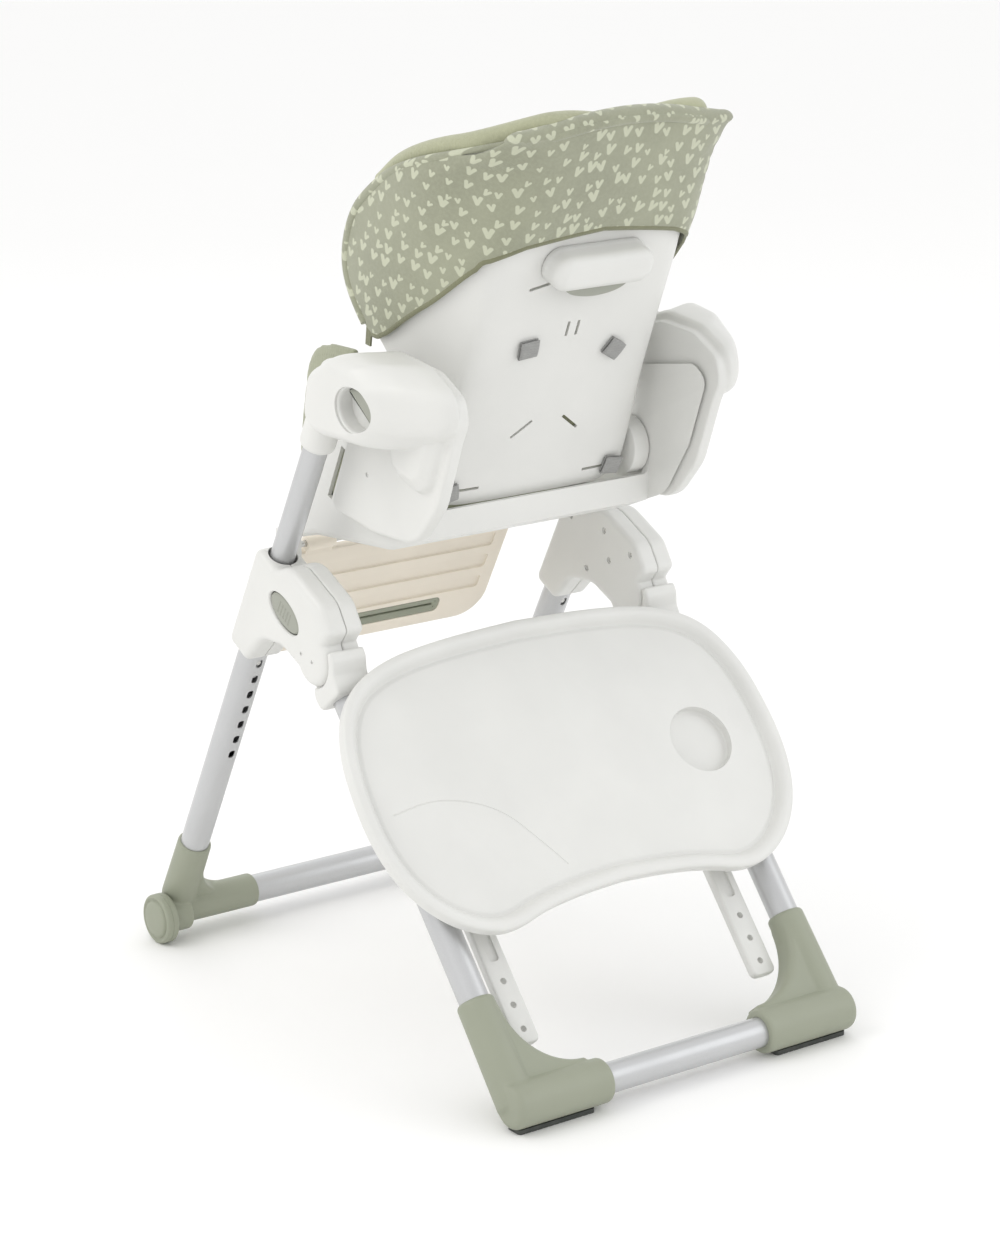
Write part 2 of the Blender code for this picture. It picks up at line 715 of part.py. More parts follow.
# An arm rest's sections as (across the chair, set in all round, share of the length used)
ARM_SECTIONS = (
    (0.1900, 0.0040, 1.00), (0.1950, 0.0000, 1.00), (0.2100, 0.0000, 0.97),
    (0.2320, 0.0000, 0.85), (0.2480, 0.0015, 0.74), (0.2600, 0.0060, 0.66), (0.2665, 0.0140, 0.61),
)
ARM_HOLLOW = ((0.1985, 0.0050, 1.00), (0.2120, 0.0050, 0.96), (0.2250, 0.0050, 0.88), (0.2400, 0.0060, 0.77))


def arm_loft(side, sections):
    """The arm rest's drum: it grows shorter at the back towards its outer face."""
    front = -0.012
    outline = rounded([
        (front, 0.748, 0.025),
        (0.030, 0.733, 0.03),
        (0.150, 0.735, 0.05),
        (0.206, 0.765, 0.03),
        (0.200, 0.806, 0.03),
        (0.150, 0.832, 0.04),
        (0.085, 0.839, 0.05),
        (0.008, 0.812, 0.03),
    ])
    rings = []
    for x, away, share in sections:
        rings.append([Vector((side * x, front + (p.x - front) * share, p.y)) for p in inset(outline, away)])
    return loft(rings)


def arm_skirt(side):
    """The flat lower part of the arm rest, screwed to the seat's side inboard of the legs."""
    outline = rounded([
        (-0.060, 0.626, 0.012),
        (0.030, 0.613, 0.08),
        (0.116, 0.616, 0.05),
        (0.160, 0.668, 0.06),
        (0.188, 0.745, 0.02),
        (0.201, 0.772, 0.02),
        (0.196, 0.800, 0.025),
        (0.150, 0.824, 0.04),
        (0.090, 0.828, 0.05),
        (0.012, 0.806, 0.03),
        (-0.024, 0.712, 0.04),
    ])
    return pillow(outline, side * (SEAT_HALF + GAP), side * ARM_SKIRT, high_r=0.005)


def arm_swell(side):
    """The arm rest's rear, where the skirt fills out towards the drum."""
    outline = rounded([
        (0.085, 0.690, 0.03),
        (0.150, 0.672, 0.03),
        (0.176, 0.735, 0.03),
        (0.190, 0.775, 0.01),
        (0.085, 0.775, 0.01),
    ])
    # Each section as (set in all round, across the chair, raised by)
    sections = ((0, ARM_SKIRT - 0.006, 0), (0.004, 0.2035, 0.004), (0.012, 0.2140, 0.012))
    return loft([
        [side_view(p.x, p.y + rise, side * across) for p in inset(outline, away)]
        for away, across, rise in sections
    ])


def armrest(chair, side):
    x = side * HALF_TRACK
    sleeve_profile = [(0, 0.0195), (0.003, 0.0215), (0.11, 0.0225), (0.1145, 0.016)]
    sleeve = loft(round_rings(on_front(x, 0.8005), on_front(x, 0.915), sleeve_profile))
    button = ellipse(*HEIGHT_BUTTON_AT, 0.030, 0.024, -0.15)
    cuts = [
        arm_loft(side, ARM_HOLLOW),
        rod(on_front(x, 0.79), on_front(x, 0.903), UPPER_TUBE_R + GAP),
        pillow(button, side * ARM_FLOOR, side * 0.30),
    ]
    name = side_name("armrest_housing", side)
    arm_parts = [arm_loft(side, ARM_SECTIONS), arm_swell(side), sleeve]
    chair.add(name, arm_skirt(side), "white_plastic", "seat", arm_parts, cuts)
    name = side_name("height_button", side)
    low, high = side * (ARM_FLOOR + 0.0038), side * (ARM_FLOOR + 0.0118)
    chair.body(name, Vector((high, *HEIGHT_BUTTON_AT)), "seat")
    push = pillow(inset(button, 0.0006), low, high, high_r=0.003)
    chair.add(name, push, "button_plastic", name)


def upper_tube(chair, side):
    x = side * HALF_TRACK
    tube = pipe(on_front(x, 0.450), on_front(x, 0.900), UPPER_TUBE_R, UPPER_TUBE_R - TUBE_WALL)
    hole = rod(on_front(x, TOP_SLOT_T, 0.005), on_front(x, TOP_SLOT_T, 0.03), 0.004, count=12)
    chair.add(side_name("upper_tube", side), tube, "grey_tube", "seat", cut=[hole])
    pin = rod(on_front(x, TOP_SLOT_T, -0.010), on_front(x, TOP_SLOT_T, 0.0160), 0.0036, 0.0006, 12)
    chair.add(side_name("height_latch_pin", side), pin, "steel", "seat")


def seat_pad(chair):
    """A padded liner with side bolsters, in front of the back rest."""
    rings = []
    for y in (-0.172, -0.158, -0.143, -0.129, -0.115, -0.095, -0.070, -0.042):
        floor = 0.583 + (y + 0.192) * 0.09
        top = table([(-0.172, 0.650), (-0.158, 0.725), (-0.143, 0.785), (-0.115, 0.813), (-0.042, 0.822)], y)
        rings.append(liner_ring(y, floor, top))
    chair.add("seat_pad", loft(rings), "sage_fabric", "seat")


def liner_ring(y, floor, top):
    """A U section across the chair at y: from the floor of the bucket up both sides."""
    half, thick, corner = SEAT_HALF - SEAT_WALL - 0.0013, 0.016, 0.035
    small = corner - 0.008
    turns = [math.pi / 2 * k / 4 for k in range(1, 5)]
    outer = [(half - 0.003, top), (half, top - 0.006), (half, floor + corner)]
    outer += [(half - corner * (1 - math.cos(a)), floor + corner * (1 - math.sin(a))) for a in turns]
    within = half - thick
    inner = [
        (within - small * (1 - math.cos(a)), floor + thick + 0.006 + small * (1 - math.sin(a)))
        for a in reversed(turns)
    ]
    inner += [(within, floor + corner + 0.006), (within, top - 0.008), (within + 0.004, top)]
    ring = [Vector((a, y, b)) for a, b in outer]
    ring += [Vector((-a, y, b)) for a, b in reversed(outer)]
    ring += [Vector((-a, y, b)) for a, b in reversed(inner)]
    return ring + [Vector((a, y, b)) for a, b in inner]


def side_slot():
    """The long slanted slot through each wall of the bucket, ahead of the arm rest."""
    top, foot = Vector((-0.053, 0.696)), Vector((-0.084, 0.630))
    along = (top - foot).normalized()
    aside = Vector((-along.y, along.x)) * SIDE_SLOT / 2
    return [foot - aside, foot + aside, top + aside, top - aside]


def leg_rest_lug(side):
    """A lug at a front corner of the bucket that carries the leg rest's rod."""
    y, z = LEG_REST_AT.y, LEG_REST_AT.z
    x = side * (SEAT_HALF - 0.007)
    return block((x - 0.0065, y - 0.008, z - 0.009), (x + 0.0065, y + 0.030, z + 0.024))


def seat(chair):
    chair.body("seat", on_front(0, 0.90), "front_frame")
    hollow_half = SEAT_HALF - SEAT_WALL
    bucket = pillow(seat_outline(), -SEAT_HALF, SEAT_HALF, low_r=0.010, high_r=0.010)
    hollow = pillow(seat_hollow(), -hollow_half, hollow_half, low_r=0.008, high_r=0.008)
    behind_lip = block((-hollow_half, LIP_Y + 0.006, 0.55), (hollow_half, 0.25, LIP_Z + 0.01))
    bore = across(-0.2, 0.2, LEG_REST_AT, 0.0043)
    strap_slots = pillow(side_slot(), -0.19, 0.19)
    lugs = [leg_rest_lug(1), leg_rest_lug(-1)]
    chair.add("seat_shell", bucket, "white_plastic", "seat", lugs, [hollow, behind_lip, bore, strap_slots])
    seat_pad(chair)
    for side in (1, -1):
        armrest(chair, side)
        upper_tube(chair, side)
        pin = across(side * PIN_INNER, side * (hollow_half - GAP), RECLINE_AT, 0.006, 20)
        chair.add(side_name("recline_pin", side), pin, "steel", "seat")


# Back rest


def table(pairs, value):
    """A smooth reading between (place, amount) pairs."""
    for (a, low), (b, high) in zip(pairs, pairs[1:]):
        if value <= b:
            part = min(1, max(0, (value - a) / (b - a)))
            part = part * part * (3 - 2 * part) * 0.5 + part * 0.5
            return low + (high - low) * part
    return pairs[-1][1]


def back_half(s):
    """Half the width of the back panel at height s."""
    return table([
        (0, 0.126), (0.01, 0.140), (0.03, 0.146), (0.15, 0.139), (0.33, 0.139), (0.43, 0.152),
        (0.47, 0.156), (BACK_TOP_S, 0.142),
    ], s)


def wing_depth(s):
    """How far the side wings reach forward at height s."""
    return table([
        (0, 0.030), (0.05, 0.045), (0.10, 0.062), (0.15, 0.105), (0.19, 0.176), (0.24, 0.197), (0.31, 0.186),
        (0.344, 0.167), (0.377, 0.148), (0.426, 0.105), (0.483, 0.045), (BACK_TOP_S, 0.030),
    ], s)


def wing_out(s):
    """How far out the front edge of a wing is at height s."""
    return table([
        (0, 0.150), (0.10, 0.158), (0.14, 0.164), (0.17, 0.171), (0.25, 0.184), (0.31, 0.190),
        (0.40, 0.188), (BACK_TOP_S, 0.162),
    ], s)


def back_path(s, away, share=1.0, wing_steps=4):
    """The back rest's outer line across the chair at height s, moved outwards; share is the wing used."""
    half, corner = back_half(s), 0.028
    depth, out = wing_depth(s), wing_out(s)
    base = Vector((half - corner, 0))
    right = [base * k / 2 for k in range(2)]
    tip = Vector((out, depth))
    knee = Vector((half, corner * 0.7))
    for k in range(4):
        part = k / 3
        bend = (1 - part) ** 2 * base + 2 * part * (1 - part) * Vector((half, 0)) + part**2 * knee
        right.append(bend)
    for k in range(1, wing_steps + 1):
        part = k / wing_steps * share
        bulge = 0.35 * (out - half) * math.sin(math.pi * part)
        right.append(knee + (tip - knee) * part + Vector((bulge, 0)))
    line = [Vector((-p.x, p.y)) for p in right[:0:-1]] + right
    return offset_line(line, away)


def offset_line(line, away):
    moved = []
    for i, here in enumerate(line):
        before = line[max(i - 1, 0)]
        after = line[min(i + 1, len(line) - 1)]
        along = (after - before).normalized()
        moved.append(here + Vector((along.y, -along.x)) * away)
    return moved


def crown(s, x):
    """The top edge is bowed: the rows near it drop towards the sides."""
    return s - 0.020 * (s / BACK_TOP_S) ** 4 * min(1.3, (x / 0.13) ** 2)


def back_section(s, outer, inner, share=1.0):
    """A closed U section of the back rest at height s."""
    ring = back_path(s, outer, share) + back_path(s, inner, share)[::-1]
    return [on_back(p.x, crown(s, p.x), p.y) for p in ring]


def back_shell(chair):
    heights = [0, 0.010, 0.03, 0.09, 0.14, 0.17, 0.20, 0.24, 0.31, 0.377, 0.43, 0.475, BACK_TOP_S]
    rings = [back_section(s, 0, -BACK_THICK) for s in heights]
    hubs = []
    cuts = []
    for side in (1, -1):
        hub_out = SEAT_HALF - SEAT_WALL - 0.0008
        hubs.append(across(side * 0.1487, side * hub_out, RECLINE_AT, 0.036, chamfer=0.003))
        cuts.append(across(side * (PIN_INNER - 0.0005), side * 0.2, RECLINE_AT, 0.0063, 20))
        cuts.append(slot_cut((side * 0.078, 0.289), (side * 0.050, 0.295)))
        cuts.append(slot_cut((side * 0.007, 0.219), (side * 0.007, 0.239)))
        cuts.append(slot_cut((side * 0.048, 0.086), (side * 0.022, 0.106)))
        cuts.append(slot_cut((side * 0.075, 0.021), (side * 0.108, 0.021)))
    chair.add("back_shell", loft(rings), "white_plastic", "backrest", hubs, cuts)


def slot_cut(first, last):
    """A narrow strap slot through the back panel, from one (x, s) to another."""
    start, end = Vector(first), Vector(last)
    along = (end - start).normalized()
    across = Vector((-along.y, along.x)) * 0.0014
    corners = [start - across, end - across, end + across, start + across]
    return pillow(corners, -0.01, 0.02, on_back)


def hem_height(part):
    """The hood's lower edge: part is 0 in the middle of the back and 1 at a wing's front edge."""
    return table([
        (0, 0.365), (0.222, 0.355), (0.444, 0.336), (0.556, 0.318), (0.667, 0.247), (0.778, 0.194),
        (0.889, 0.173), (1, 0.165),
    ], part)


def hood(chair):
    """A fabric hood over the top of the back rest: one thin folded sheet, open below and in front."""
    near, thick, top = 0.0050, 0.0030, BACK_TOP_S
    fold = 0.03
    front_near = -BACK_THICK - near
    front_far = front_near - thick
    over = [
        (top, near + thick * 0.5, near + thick),
        (top, front_near - thick * 0.5, near + thick),
        (top, front_far, 0.0),
        (top - fold, front_far, 0.0),
        (top - fold, front_near, 0.0),
        (top, front_near, near),
        (top, near * 0.5, near),
    ]
    count = len(back_path(0.4, 0))
    rings = []
    for i in range(count):
        hem = hem_height(abs(2 * i / (count - 1) - 1))
        down = [top - (top - hem) * k / 6 for k in range(7)]
        ring = [hood_point(i, s, near + thick, 0.0) for s in reversed(down)]
        ring += [hood_point(i, s, away, above) for s, away, above in over]
        ring += [hood_point(i, s, near, 0.0) for s in down]
        rings.append(ring)
    chair.add("hood", loft(rings), "sage_fabric", "backrest")


def hood_point(i, s, away, above):
    point = back_path(s, away)[i]
    return on_back(point.x, crown(s, point.x) + above, point.y)


def back_pad(chair):
    """A padded liner inside the back rest, along the panel and the wings."""
    heights = [0.045, 0.060, 0.12, 0.17, 0.22, 0.30, 0.38, 0.44, 0.468]
    near, thick = -BACK_THICK - 0.003, 0.020
    rings = []
    for i, s in enumerate(heights):
        swell = 0.4 if i in (0, len(heights) - 1) else 1.0
        rings.append(back_section(s, near, near - thick * swell, 0.86))
    chair.add("back_pad", loft(rings), "sage_fabric", "backrest")


def handle(chair):
    """The grab bar across the top of the back, hollow below for the recline lever."""
    outline = box_outline(-0.069, 0.299, 0.069, 0.343, 0.020)
    grip = pillow(outline, -0.034, -0.0062, on_back, low_r=0.012, steps=3)
    mouth = pillow(box_outline(-0.047, 0.28, 0.047, 0.328, 0.004), -0.026, -0.002, on_back)
    chair.add("back_handle", grip, "white_plastic", "backrest", cut=[mouth])
    chair.body("recline_lever", on_back(0, 0.30, -0.012), "backrest")
    half, low, high = 0.044, 0.300, 0.316
    curve = [math.pi * k / 10 for k in range(11)]
    shape = [Vector((half * math.cos(a), low - (high - low) * math.sin(a))) for a in curve]
    shape = [Vector((half, high))] + shape + [Vector((-half, high))]
    push = pillow(shape, -0.022, -0.0075, on_back, 0.003, 0.002)
    chair.add("recline_lever", push, "button_plastic", "recline_lever")


def harness(chair):
    """Shoulder straps and the buckle that joins them, lying on the pads."""
    lie = 0.0335
    for side in (1, -1):
        start, end = on_back(side * 0.045, 0.300, lie), on_back(side * 0.022, 0.085, lie)
        strap = bar(start, end, X, 0.0125, 0.0012, BACK_IN)
        chair.add(side_name("shoulder_strap", side), strap, "webbing", "backrest")
    corners = ((-0.027, 0.040), (0.027, 0.040), (0.022, 0.083), (-0.022, 0.083))
    outline = rounded([(a, b, 0.010) for a, b in corners])
    clasp = pillow(outline, lie - 0.004, lie + 0.010, on_back, 0.002, 0.004)
    chair.add("harness_buckle", clasp, "button_plastic", "backrest")


def backrest(chair):
    chair.body("backrest", RECLINE_AT, "seat")
    back_shell(chair)
    hood(chair)
    back_pad(chair)
    handle(chair)
    harness(chair)


# Leg rest


def leg_rest(chair):
    """A ribbed panel with a slot, hinged under the seat's front edge, and its pad."""
    chair.body("leg_rest", LEG_REST_AT, "seat")
    half, long = LEG_REST_HALF, LEG_REST_LONG
    corners = ((-half, 0.012, 0.008), (half, 0.012, 0.008), (half, long, 0.040), (-half, long, 0.040))
    outline = rounded(corners)
    panel = pillow(outline, -0.006, 0.006, on_leg_rest, 0.003, 0.003)
    cuts = [across(-0.19, 0.19, LEG_REST_AT, 0.0043)]
    for low, high in ((0.036, 0.058), (0.072, 0.094), (0.108, 0.128)):
        well = box_outline(-half + 0.02, low, half - 0.02, high, 0)
        cuts.append(pillow(well, -0.012, -0.003, on_leg_rest))
    cuts.append(pillow(box_outline(-0.102, 0.1345, 0.102, 0.1580, 0.008), -0.02, 0.02, on_leg_rest))
    knuckles = []
    for x in (-0.12, 0.12):
        knuckles.append(across(x - 0.02, x + 0.02, LEG_REST_AT, 0.0095))
        root, tip = on_leg_rest(x, 0.004), on_leg_rest(x, 0.02)
        knuckles.append(bar(root, tip, X, 0.0195, 0.0055, LEG_REST_OUT))
    chair.add("leg_rest_panel", panel, "cream_plastic", "leg_rest", knuckles, cuts)
    axle = across(-SEAT_HALF + 0.001, SEAT_HALF - 0.001, LEG_REST_AT, 0.004)
    chair.add("leg_rest_rod", axle, "steel", "seat")
    soft_half, soft_low = half - 0.004, long - 0.004
    corners = ((-soft_half, 0.030, 0.01), (soft_half, 0.030, 0.01))
    corners += ((soft_half, soft_low, 0.036), (-soft_half, soft_low, 0.036))
    pad = pillow(rounded(corners), 0.0065, 0.0195, on_leg_rest, 0.003, 0.005)
    chair.add("leg_rest_pad", pad, "sage_fabric", "leg_rest")


def main():
    for obj in list(bpy.data.objects):
        bpy.data.objects.remove(obj, do_unlink=True)
    chair = Chair()
    front_frame(chair)
    rear_frame(chair)
    tray(chair)
    seat(chair)
    backrest(chair)
    leg_rest(chair)


main()
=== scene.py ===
"""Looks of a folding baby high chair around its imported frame: moulded plastic, painted tube, fabric and pads.

Metres, +Z up. The child faces -Y and +X is the child's left. Each piece is built at rest and rides on a body.
"""

import functools
import math

import bmesh
import bpy
import numpy as np
from mathutils import Matrix, Vector, noise


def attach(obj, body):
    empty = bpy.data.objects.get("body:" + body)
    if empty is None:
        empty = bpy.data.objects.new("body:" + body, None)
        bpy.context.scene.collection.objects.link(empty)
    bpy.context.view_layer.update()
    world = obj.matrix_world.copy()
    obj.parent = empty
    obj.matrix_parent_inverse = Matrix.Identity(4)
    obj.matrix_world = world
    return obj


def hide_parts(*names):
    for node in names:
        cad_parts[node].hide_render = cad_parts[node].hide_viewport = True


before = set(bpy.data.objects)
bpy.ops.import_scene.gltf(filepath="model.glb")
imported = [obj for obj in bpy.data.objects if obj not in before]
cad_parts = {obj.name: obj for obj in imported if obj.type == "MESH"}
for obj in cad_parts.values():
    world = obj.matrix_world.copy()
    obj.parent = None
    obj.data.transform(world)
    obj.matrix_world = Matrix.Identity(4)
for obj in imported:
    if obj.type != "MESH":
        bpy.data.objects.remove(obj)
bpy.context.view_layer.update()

# Driving dimensions, the same as the frame's own
HALF_TRACK = 0.23
TUBE_R = 0.018
TUBE_WALL = 0.0015
UPPER_TUBE_R = 0.015
GAP = 0.0003
FRONT_FOOT_Y = -0.3975
FRONT_LEAN = math.radians(27.33)
REAR_FOOT_Y = 0.3851
REAR_LEAN = math.radians(40.5)
FOLD_Z = 0.462
SLOT_PITCH = 0.025
SLOT_COUNT = 7
TOP_SLOT_T = 0.475
LOWER_TUBE_TOP_T = 0.615
WHEEL_R = 0.032
WHEEL_Y = -0.360
FRONT_BAR = (-0.372, 0.036)
REAR_BAR = (0.3695, 0.031)
CROSSBAR_HALF = 0.205
COVER_IN = 0.206
COVER_OUT = 0.257
COVER_FACE = 0.0035
COVER_SLEEVE = 0.0220
KNUCKLE_HALF = 0.0193
HUB_R = 0.033
FOLD_BUTTON_AT = (-0.066, 0.505)
SEAT_HALF = 0.178
SEAT_WALL = 0.0055
LIP_Y = 0.072
LIP_Z = 0.640
ARM_SKIRT = 0.195
ARM_FLOOR = 0.2445
HEIGHT_BUTTON_AT = (0.096, 0.780)
SIDE_SLOT = 0.009
PIN_INNER_X = 0.1585
BACK_LEAN = math.atan(0.41)
BACK_FOOT = Vector((0, 0.066, 0.639))
BACK_TOP_S = 0.504
BACK_THICK = 0.004
RECLINE_AT = Vector((0, 0.046, 0.672))
LEG_REST_AT = Vector((0, -0.197, 0.543))
LEG_REST_DIR = Vector((0, -0.09, -0.17)).normalized()
LEG_REST_HALF = 0.176
LEG_REST_LONG = 0.178
TRAY_LIFT = 0.050
TRAY_T = -0.405
ARM_X = 0.176
ARM_HALF = 0.0165

PIVOT_T = FOLD_Z / math.cos(REAR_LEAN)
AXLE_HOLE_R = 0.0043
ROD_HOLE_R = 0.0043
WEBBING_HALF = 0.0125
CAMERA_AT = (2.38649, 3.28039, 1.66351)
CAMERA_AZIMUTH = math.radians(143.856)
CAMERA_ELEVATION = math.radians(16.499)
CAMERA_LENS = 101.3

X = Vector((1, 0, 0))
FRONT_UP = Vector((0, math.sin(FRONT_LEAN), math.cos(FRONT_LEAN)))
FRONT_OUT = Vector((0, math.cos(FRONT_LEAN), -math.sin(FRONT_LEAN)))
REAR_UP = Vector((0, -math.sin(REAR_LEAN), math.cos(REAR_LEAN)))
REAR_OUT = Vector((0, math.cos(REAR_LEAN), math.sin(REAR_LEAN)))
BACK_UP = Vector((0, math.sin(BACK_LEAN), math.cos(BACK_LEAN)))
BACK_IN = Vector((0, -math.cos(BACK_LEAN), math.sin(BACK_LEAN)))
LEG_REST_OUT = X.cross(LEG_REST_DIR)
FOLD_AT = Vector((0, REAR_FOOT_Y - FOLD_Z * math.tan(REAR_LEAN), FOLD_Z))
SIDES = (("left", 1), ("right", -1))
FINE = 48


# Places


def on_front(x, t, n=0.0):
    """A point t up the front legs' line, n behind it."""
    return Vector((x, FRONT_FOOT_Y, 0)) + FRONT_UP * t + FRONT_OUT * n


def on_rear(x, t, n=0.0):
    """A point t up the rear legs' line, n above it."""
    return Vector((x, REAR_FOOT_Y, 0)) + REAR_UP * t + REAR_OUT * n


def on_back(x, s, w=0.0):
    """A point s up the back rest's rear face, w in front of it."""
    return Vector((x, 0, 0)) + BACK_FOOT + BACK_UP * s + BACK_IN * w


def on_leg_rest(x, p, q=0.0):
    """A point p down the leg rest, q in front of its middle plane."""
    return Vector((x, 0, 0)) + LEG_REST_AT + LEG_REST_DIR * p - LEG_REST_OUT * q


def on_tray(a, b, h):
    """A tray point: b up the legs from the tray's middle, h above its rim plane."""
    return on_rear(a, -TRAY_T + b, TRAY_LIFT + h)


def side_view(a, b, h):
    return Vector((h, a, b))


def rear_side_view(a, b, h):
    return on_rear(h, b, a)


# Outlines and solids


def rounded(corners, step=math.radians(9)):
    """A closed outline from (a, b, radius) corners, each turned into an arc."""
    points = []
    for i, (a, b, radius) in enumerate(corners):
        here = Vector((a, b))
        before = Vector(corners[i - 1][:2])
        after = Vector(corners[(i + 1) % len(corners)][:2])
        if radius == 0:
            points.append(here)
            continue
        back, ahead = (before - here).normalized(), (after - here).normalized()
        half = back.angle(ahead) / 2
        centre = here + (back + ahead).normalized() * radius / math.sin(half)
        first = here + back * radius / math.tan(half) - centre
        turn = first.angle_signed(here + ahead * radius / math.tan(half) - centre)
        count = max(1, math.ceil(abs(turn) / step))
        for k in range(count + 1):
            angle = -turn * k / count
            spun = Matrix.Rotation(angle, 2) @ first
            points.append(centre + spun)
    return points


def box_outline(low_a, low_b, high_a, high_b, radius):
    corners = ((low_a, low_b), (high_a, low_b), (high_a, high_b), (low_a, high_b))
    return rounded([(a, b, radius) for a, b in corners])


def ellipse(a, b, half_a, half_b, turn=0.0, count=FINE):
    points = []
    for k in range(count):
        angle = 2 * math.pi * k / count
        point = Vector((half_a * math.cos(angle), half_b * math.sin(angle)))
        points.append(Vector((a, b)) + Matrix.Rotation(turn, 2) @ point)
    return points


def area(outline):
    return sum(p.cross(q) for p, q in zip(outline, outline[1:] + outline[:1])) / 2


def inset(outline, distance):
    """The outline moved inwards by a distance, or outwards by a negative one."""
    turned = 1 if area(outline) > 0 else -1
    moved = []
    for i, here in enumerate(outline):
        back = (here - outline[i - 1]).normalized()
        ahead = (outline[(i + 1) % len(outline)] - here).normalized()
        normal = Vector((-(back.y + ahead.y), back.x + ahead.x)).normalized()
        lean = max(normal.dot(Vector((-back.y, back.x))), 0.5)
        moved.append(here + normal * turned * distance / lean)
    return moved


def loft(rings, ring_closed=False):
    """A solid through rings of equal length; it has flat ends, or is itself a ring."""
    bm = bmesh.new()
    rows = [[bm.verts.new(point) for point in ring] for ring in rings]
    pairs = list(zip(rows, rows[1:]))
    if ring_closed:
        pairs.append((rows[-1], rows[0]))
    for low, high in pairs:
        for i in range(len(low)):
            bm.faces.new((low[i - 1], low[i], high[i], high[i - 1]))
    if not ring_closed:
        bm.faces.new(rows[0])
        bm.faces.new(rows[-1])
    return outward(bm)


def outward(bm):
    bmesh.ops.recalc_face_normals(bm, faces=bm.faces)
    if bm.calc_volume(signed=True) < 0:
        bmesh.ops.reverse_faces(bm, faces=bm.faces)
    return bm


def edge_arc(radius, steps):
    """The (set in, height) steps of a rounded edge, from the flat end to the straight side."""
    if radius == 0:
        return [(0.0, 0.0)]
    angles = [math.pi / 2 * k / steps for k in range(steps + 1)]
    return [(radius * (1 - math.sin(angle)), radius * (1 - math.cos(angle))) for angle in angles]


def pillow(outline, low, high, place=side_view, low_r=0.0, high_r=0.0, steps=5):
    """An outline between two heights, with a rounded edge of its own radius at each end."""
    sign = 1 if high > low else -1
    levels = [(away, low + sign * rise) for away, rise in edge_arc(low_r, steps)]
    levels += [(away, high - sign * rise) for away, rise in reversed(edge_arc(high_r, steps))]
    return loft([[place(p.x, p.y, height) for p in inset(outline, away)] for away, height in levels])


def circle(centre, side, other, radius, count):
    """Points round a centre, in the plane of two directions."""
    turns = (2 * math.pi * k / count for k in range(count))
    return [centre + (side * math.cos(a) + other * math.sin(a)) * radius for a in turns]


def round_rings(start, end, radii, count=FINE):
    """Circles along a line at (distance, radius) pairs."""
    along = (end - start).normalized()
    side = along.cross(Vector((0.3, 0.5, 0.8))).normalized()
    other = along.cross(side)
    return [circle(start + along * distance, side, other, radius, count) for distance, radius in radii]


def rod(start, end, radius, chamfer=0.0, count=FINE):
    length = (end - start).length
    radii = [(0, radius), (length, radius)]
    if chamfer:
        radii = [(0, radius - chamfer), (chamfer * 0.3, radius - chamfer * 0.3), (chamfer, radius)]
        radii += [(length - d, r) for d, r in reversed(radii)]
    return loft(round_rings(start, end, radii, count))


def across(x0, x1, at, radius, count=FINE, chamfer=0.0):
    """A rod that runs across the chair through the (y, z) of a point."""
    return rod(Vector((x0, at[-2], at[-1])), Vector((x1, at[-2], at[-1])), radius, chamfer, count)


def pipe(start, end, radius, inner, count=FINE):
    length = (end - start).length
    lip = 0.0004
    profile = [
        (0, radius - lip), (lip, radius), (length - lip, radius), (length, radius - lip),
        (length, inner), (0, inner),
    ]
    return loft(round_rings(start, end, profile, count), True)


def block(low, high):
    bm = bmesh.new()
    bmesh.ops.create_cube(bm, size=1)
    for vert in bm.verts:
        vert.co = Vector(low[i] + (vert.co[i] + 0.5) * (high[i] - low[i]) for i in range(3))
    return outward(bm)


def bar(start, end, wide, half_wide, half_thick, normal):
    """A flat bar from start to end, wide along the direction wide, thick along normal."""
    rings = []
    for centre in (start, end):
        rings.append([
            centre + wide * half_wide * a + normal * half_thick * b
            for a, b in ((-1, -1), (1, -1), (1, 1), (-1, 1))
        ])
    return loft(rings)


# Objects


def link(name, bm):
    mesh = bpy.data.meshes.new(name)
    bm.to_mesh(mesh)
    bm.free()
    obj = bpy.data.objects.new(name, mesh)
    bpy.context.scene.collection.objects.link(obj)
    return obj


def bake(obj):
    """The object's mesh as its modifiers leave it, with the modifiers gone."""
    graph = bpy.context.evaluated_depsgraph_get()
    mesh = bpy.data.meshes.new_from_object(obj.evaluated_get(graph))
    obj.modifiers.clear()
    old = obj.data
    obj.data = mesh
    bpy.data.meshes.remove(old)
    return obj


def merged(parts):
    """Several solids as one set of faces, not yet joined."""
    whole = bmesh.new()
    for part in parts:
        mesh = bpy.data.meshes.new("part")
        part.to_mesh(mesh)
        part.free()
        whole.from_mesh(mesh)
        bpy.data.meshes.remove(mesh)
    return whole


def carve(obj, cuts, operation="DIFFERENCE"):
    """Takes the cutters out of the object, or joins solids to it, each edge left crisp."""
    for i, cut in enumerate(cuts):
        tool = link(f"{obj.name}_cut_{i}", cut)
        modifier = obj.modifiers.new("cut", "BOOLEAN")
        modifier.operation = operation
        modifier.solver = "MANIFOLD"
        modifier.object = tool
        bake(obj)
        bpy.data.objects.remove(tool)
    return obj


def melt(obj, voxel, rounds):
    """One even skin over the object, with its inner and outer corners softened."""
    skin = obj.modifiers.new("skin", "REMESH")
    skin.mode = "VOXEL"
    skin.voxel_size = voxel
    soft = obj.modifiers.new("soft", "SMOOTH")
    soft.factor = 0.5
    soft.iterations = rounds
    return bake(obj)


def show(obj, material, body, sharp=35.0):
    """Gives a piece its material, shading, body and slot."""
    obj.data.materials.clear()
    obj.data.materials.append(material)
    obj.data.shade_smooth()
    obj.data.set_sharp_from_angle(angle=math.radians(sharp))
    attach(obj, body)
    return obj


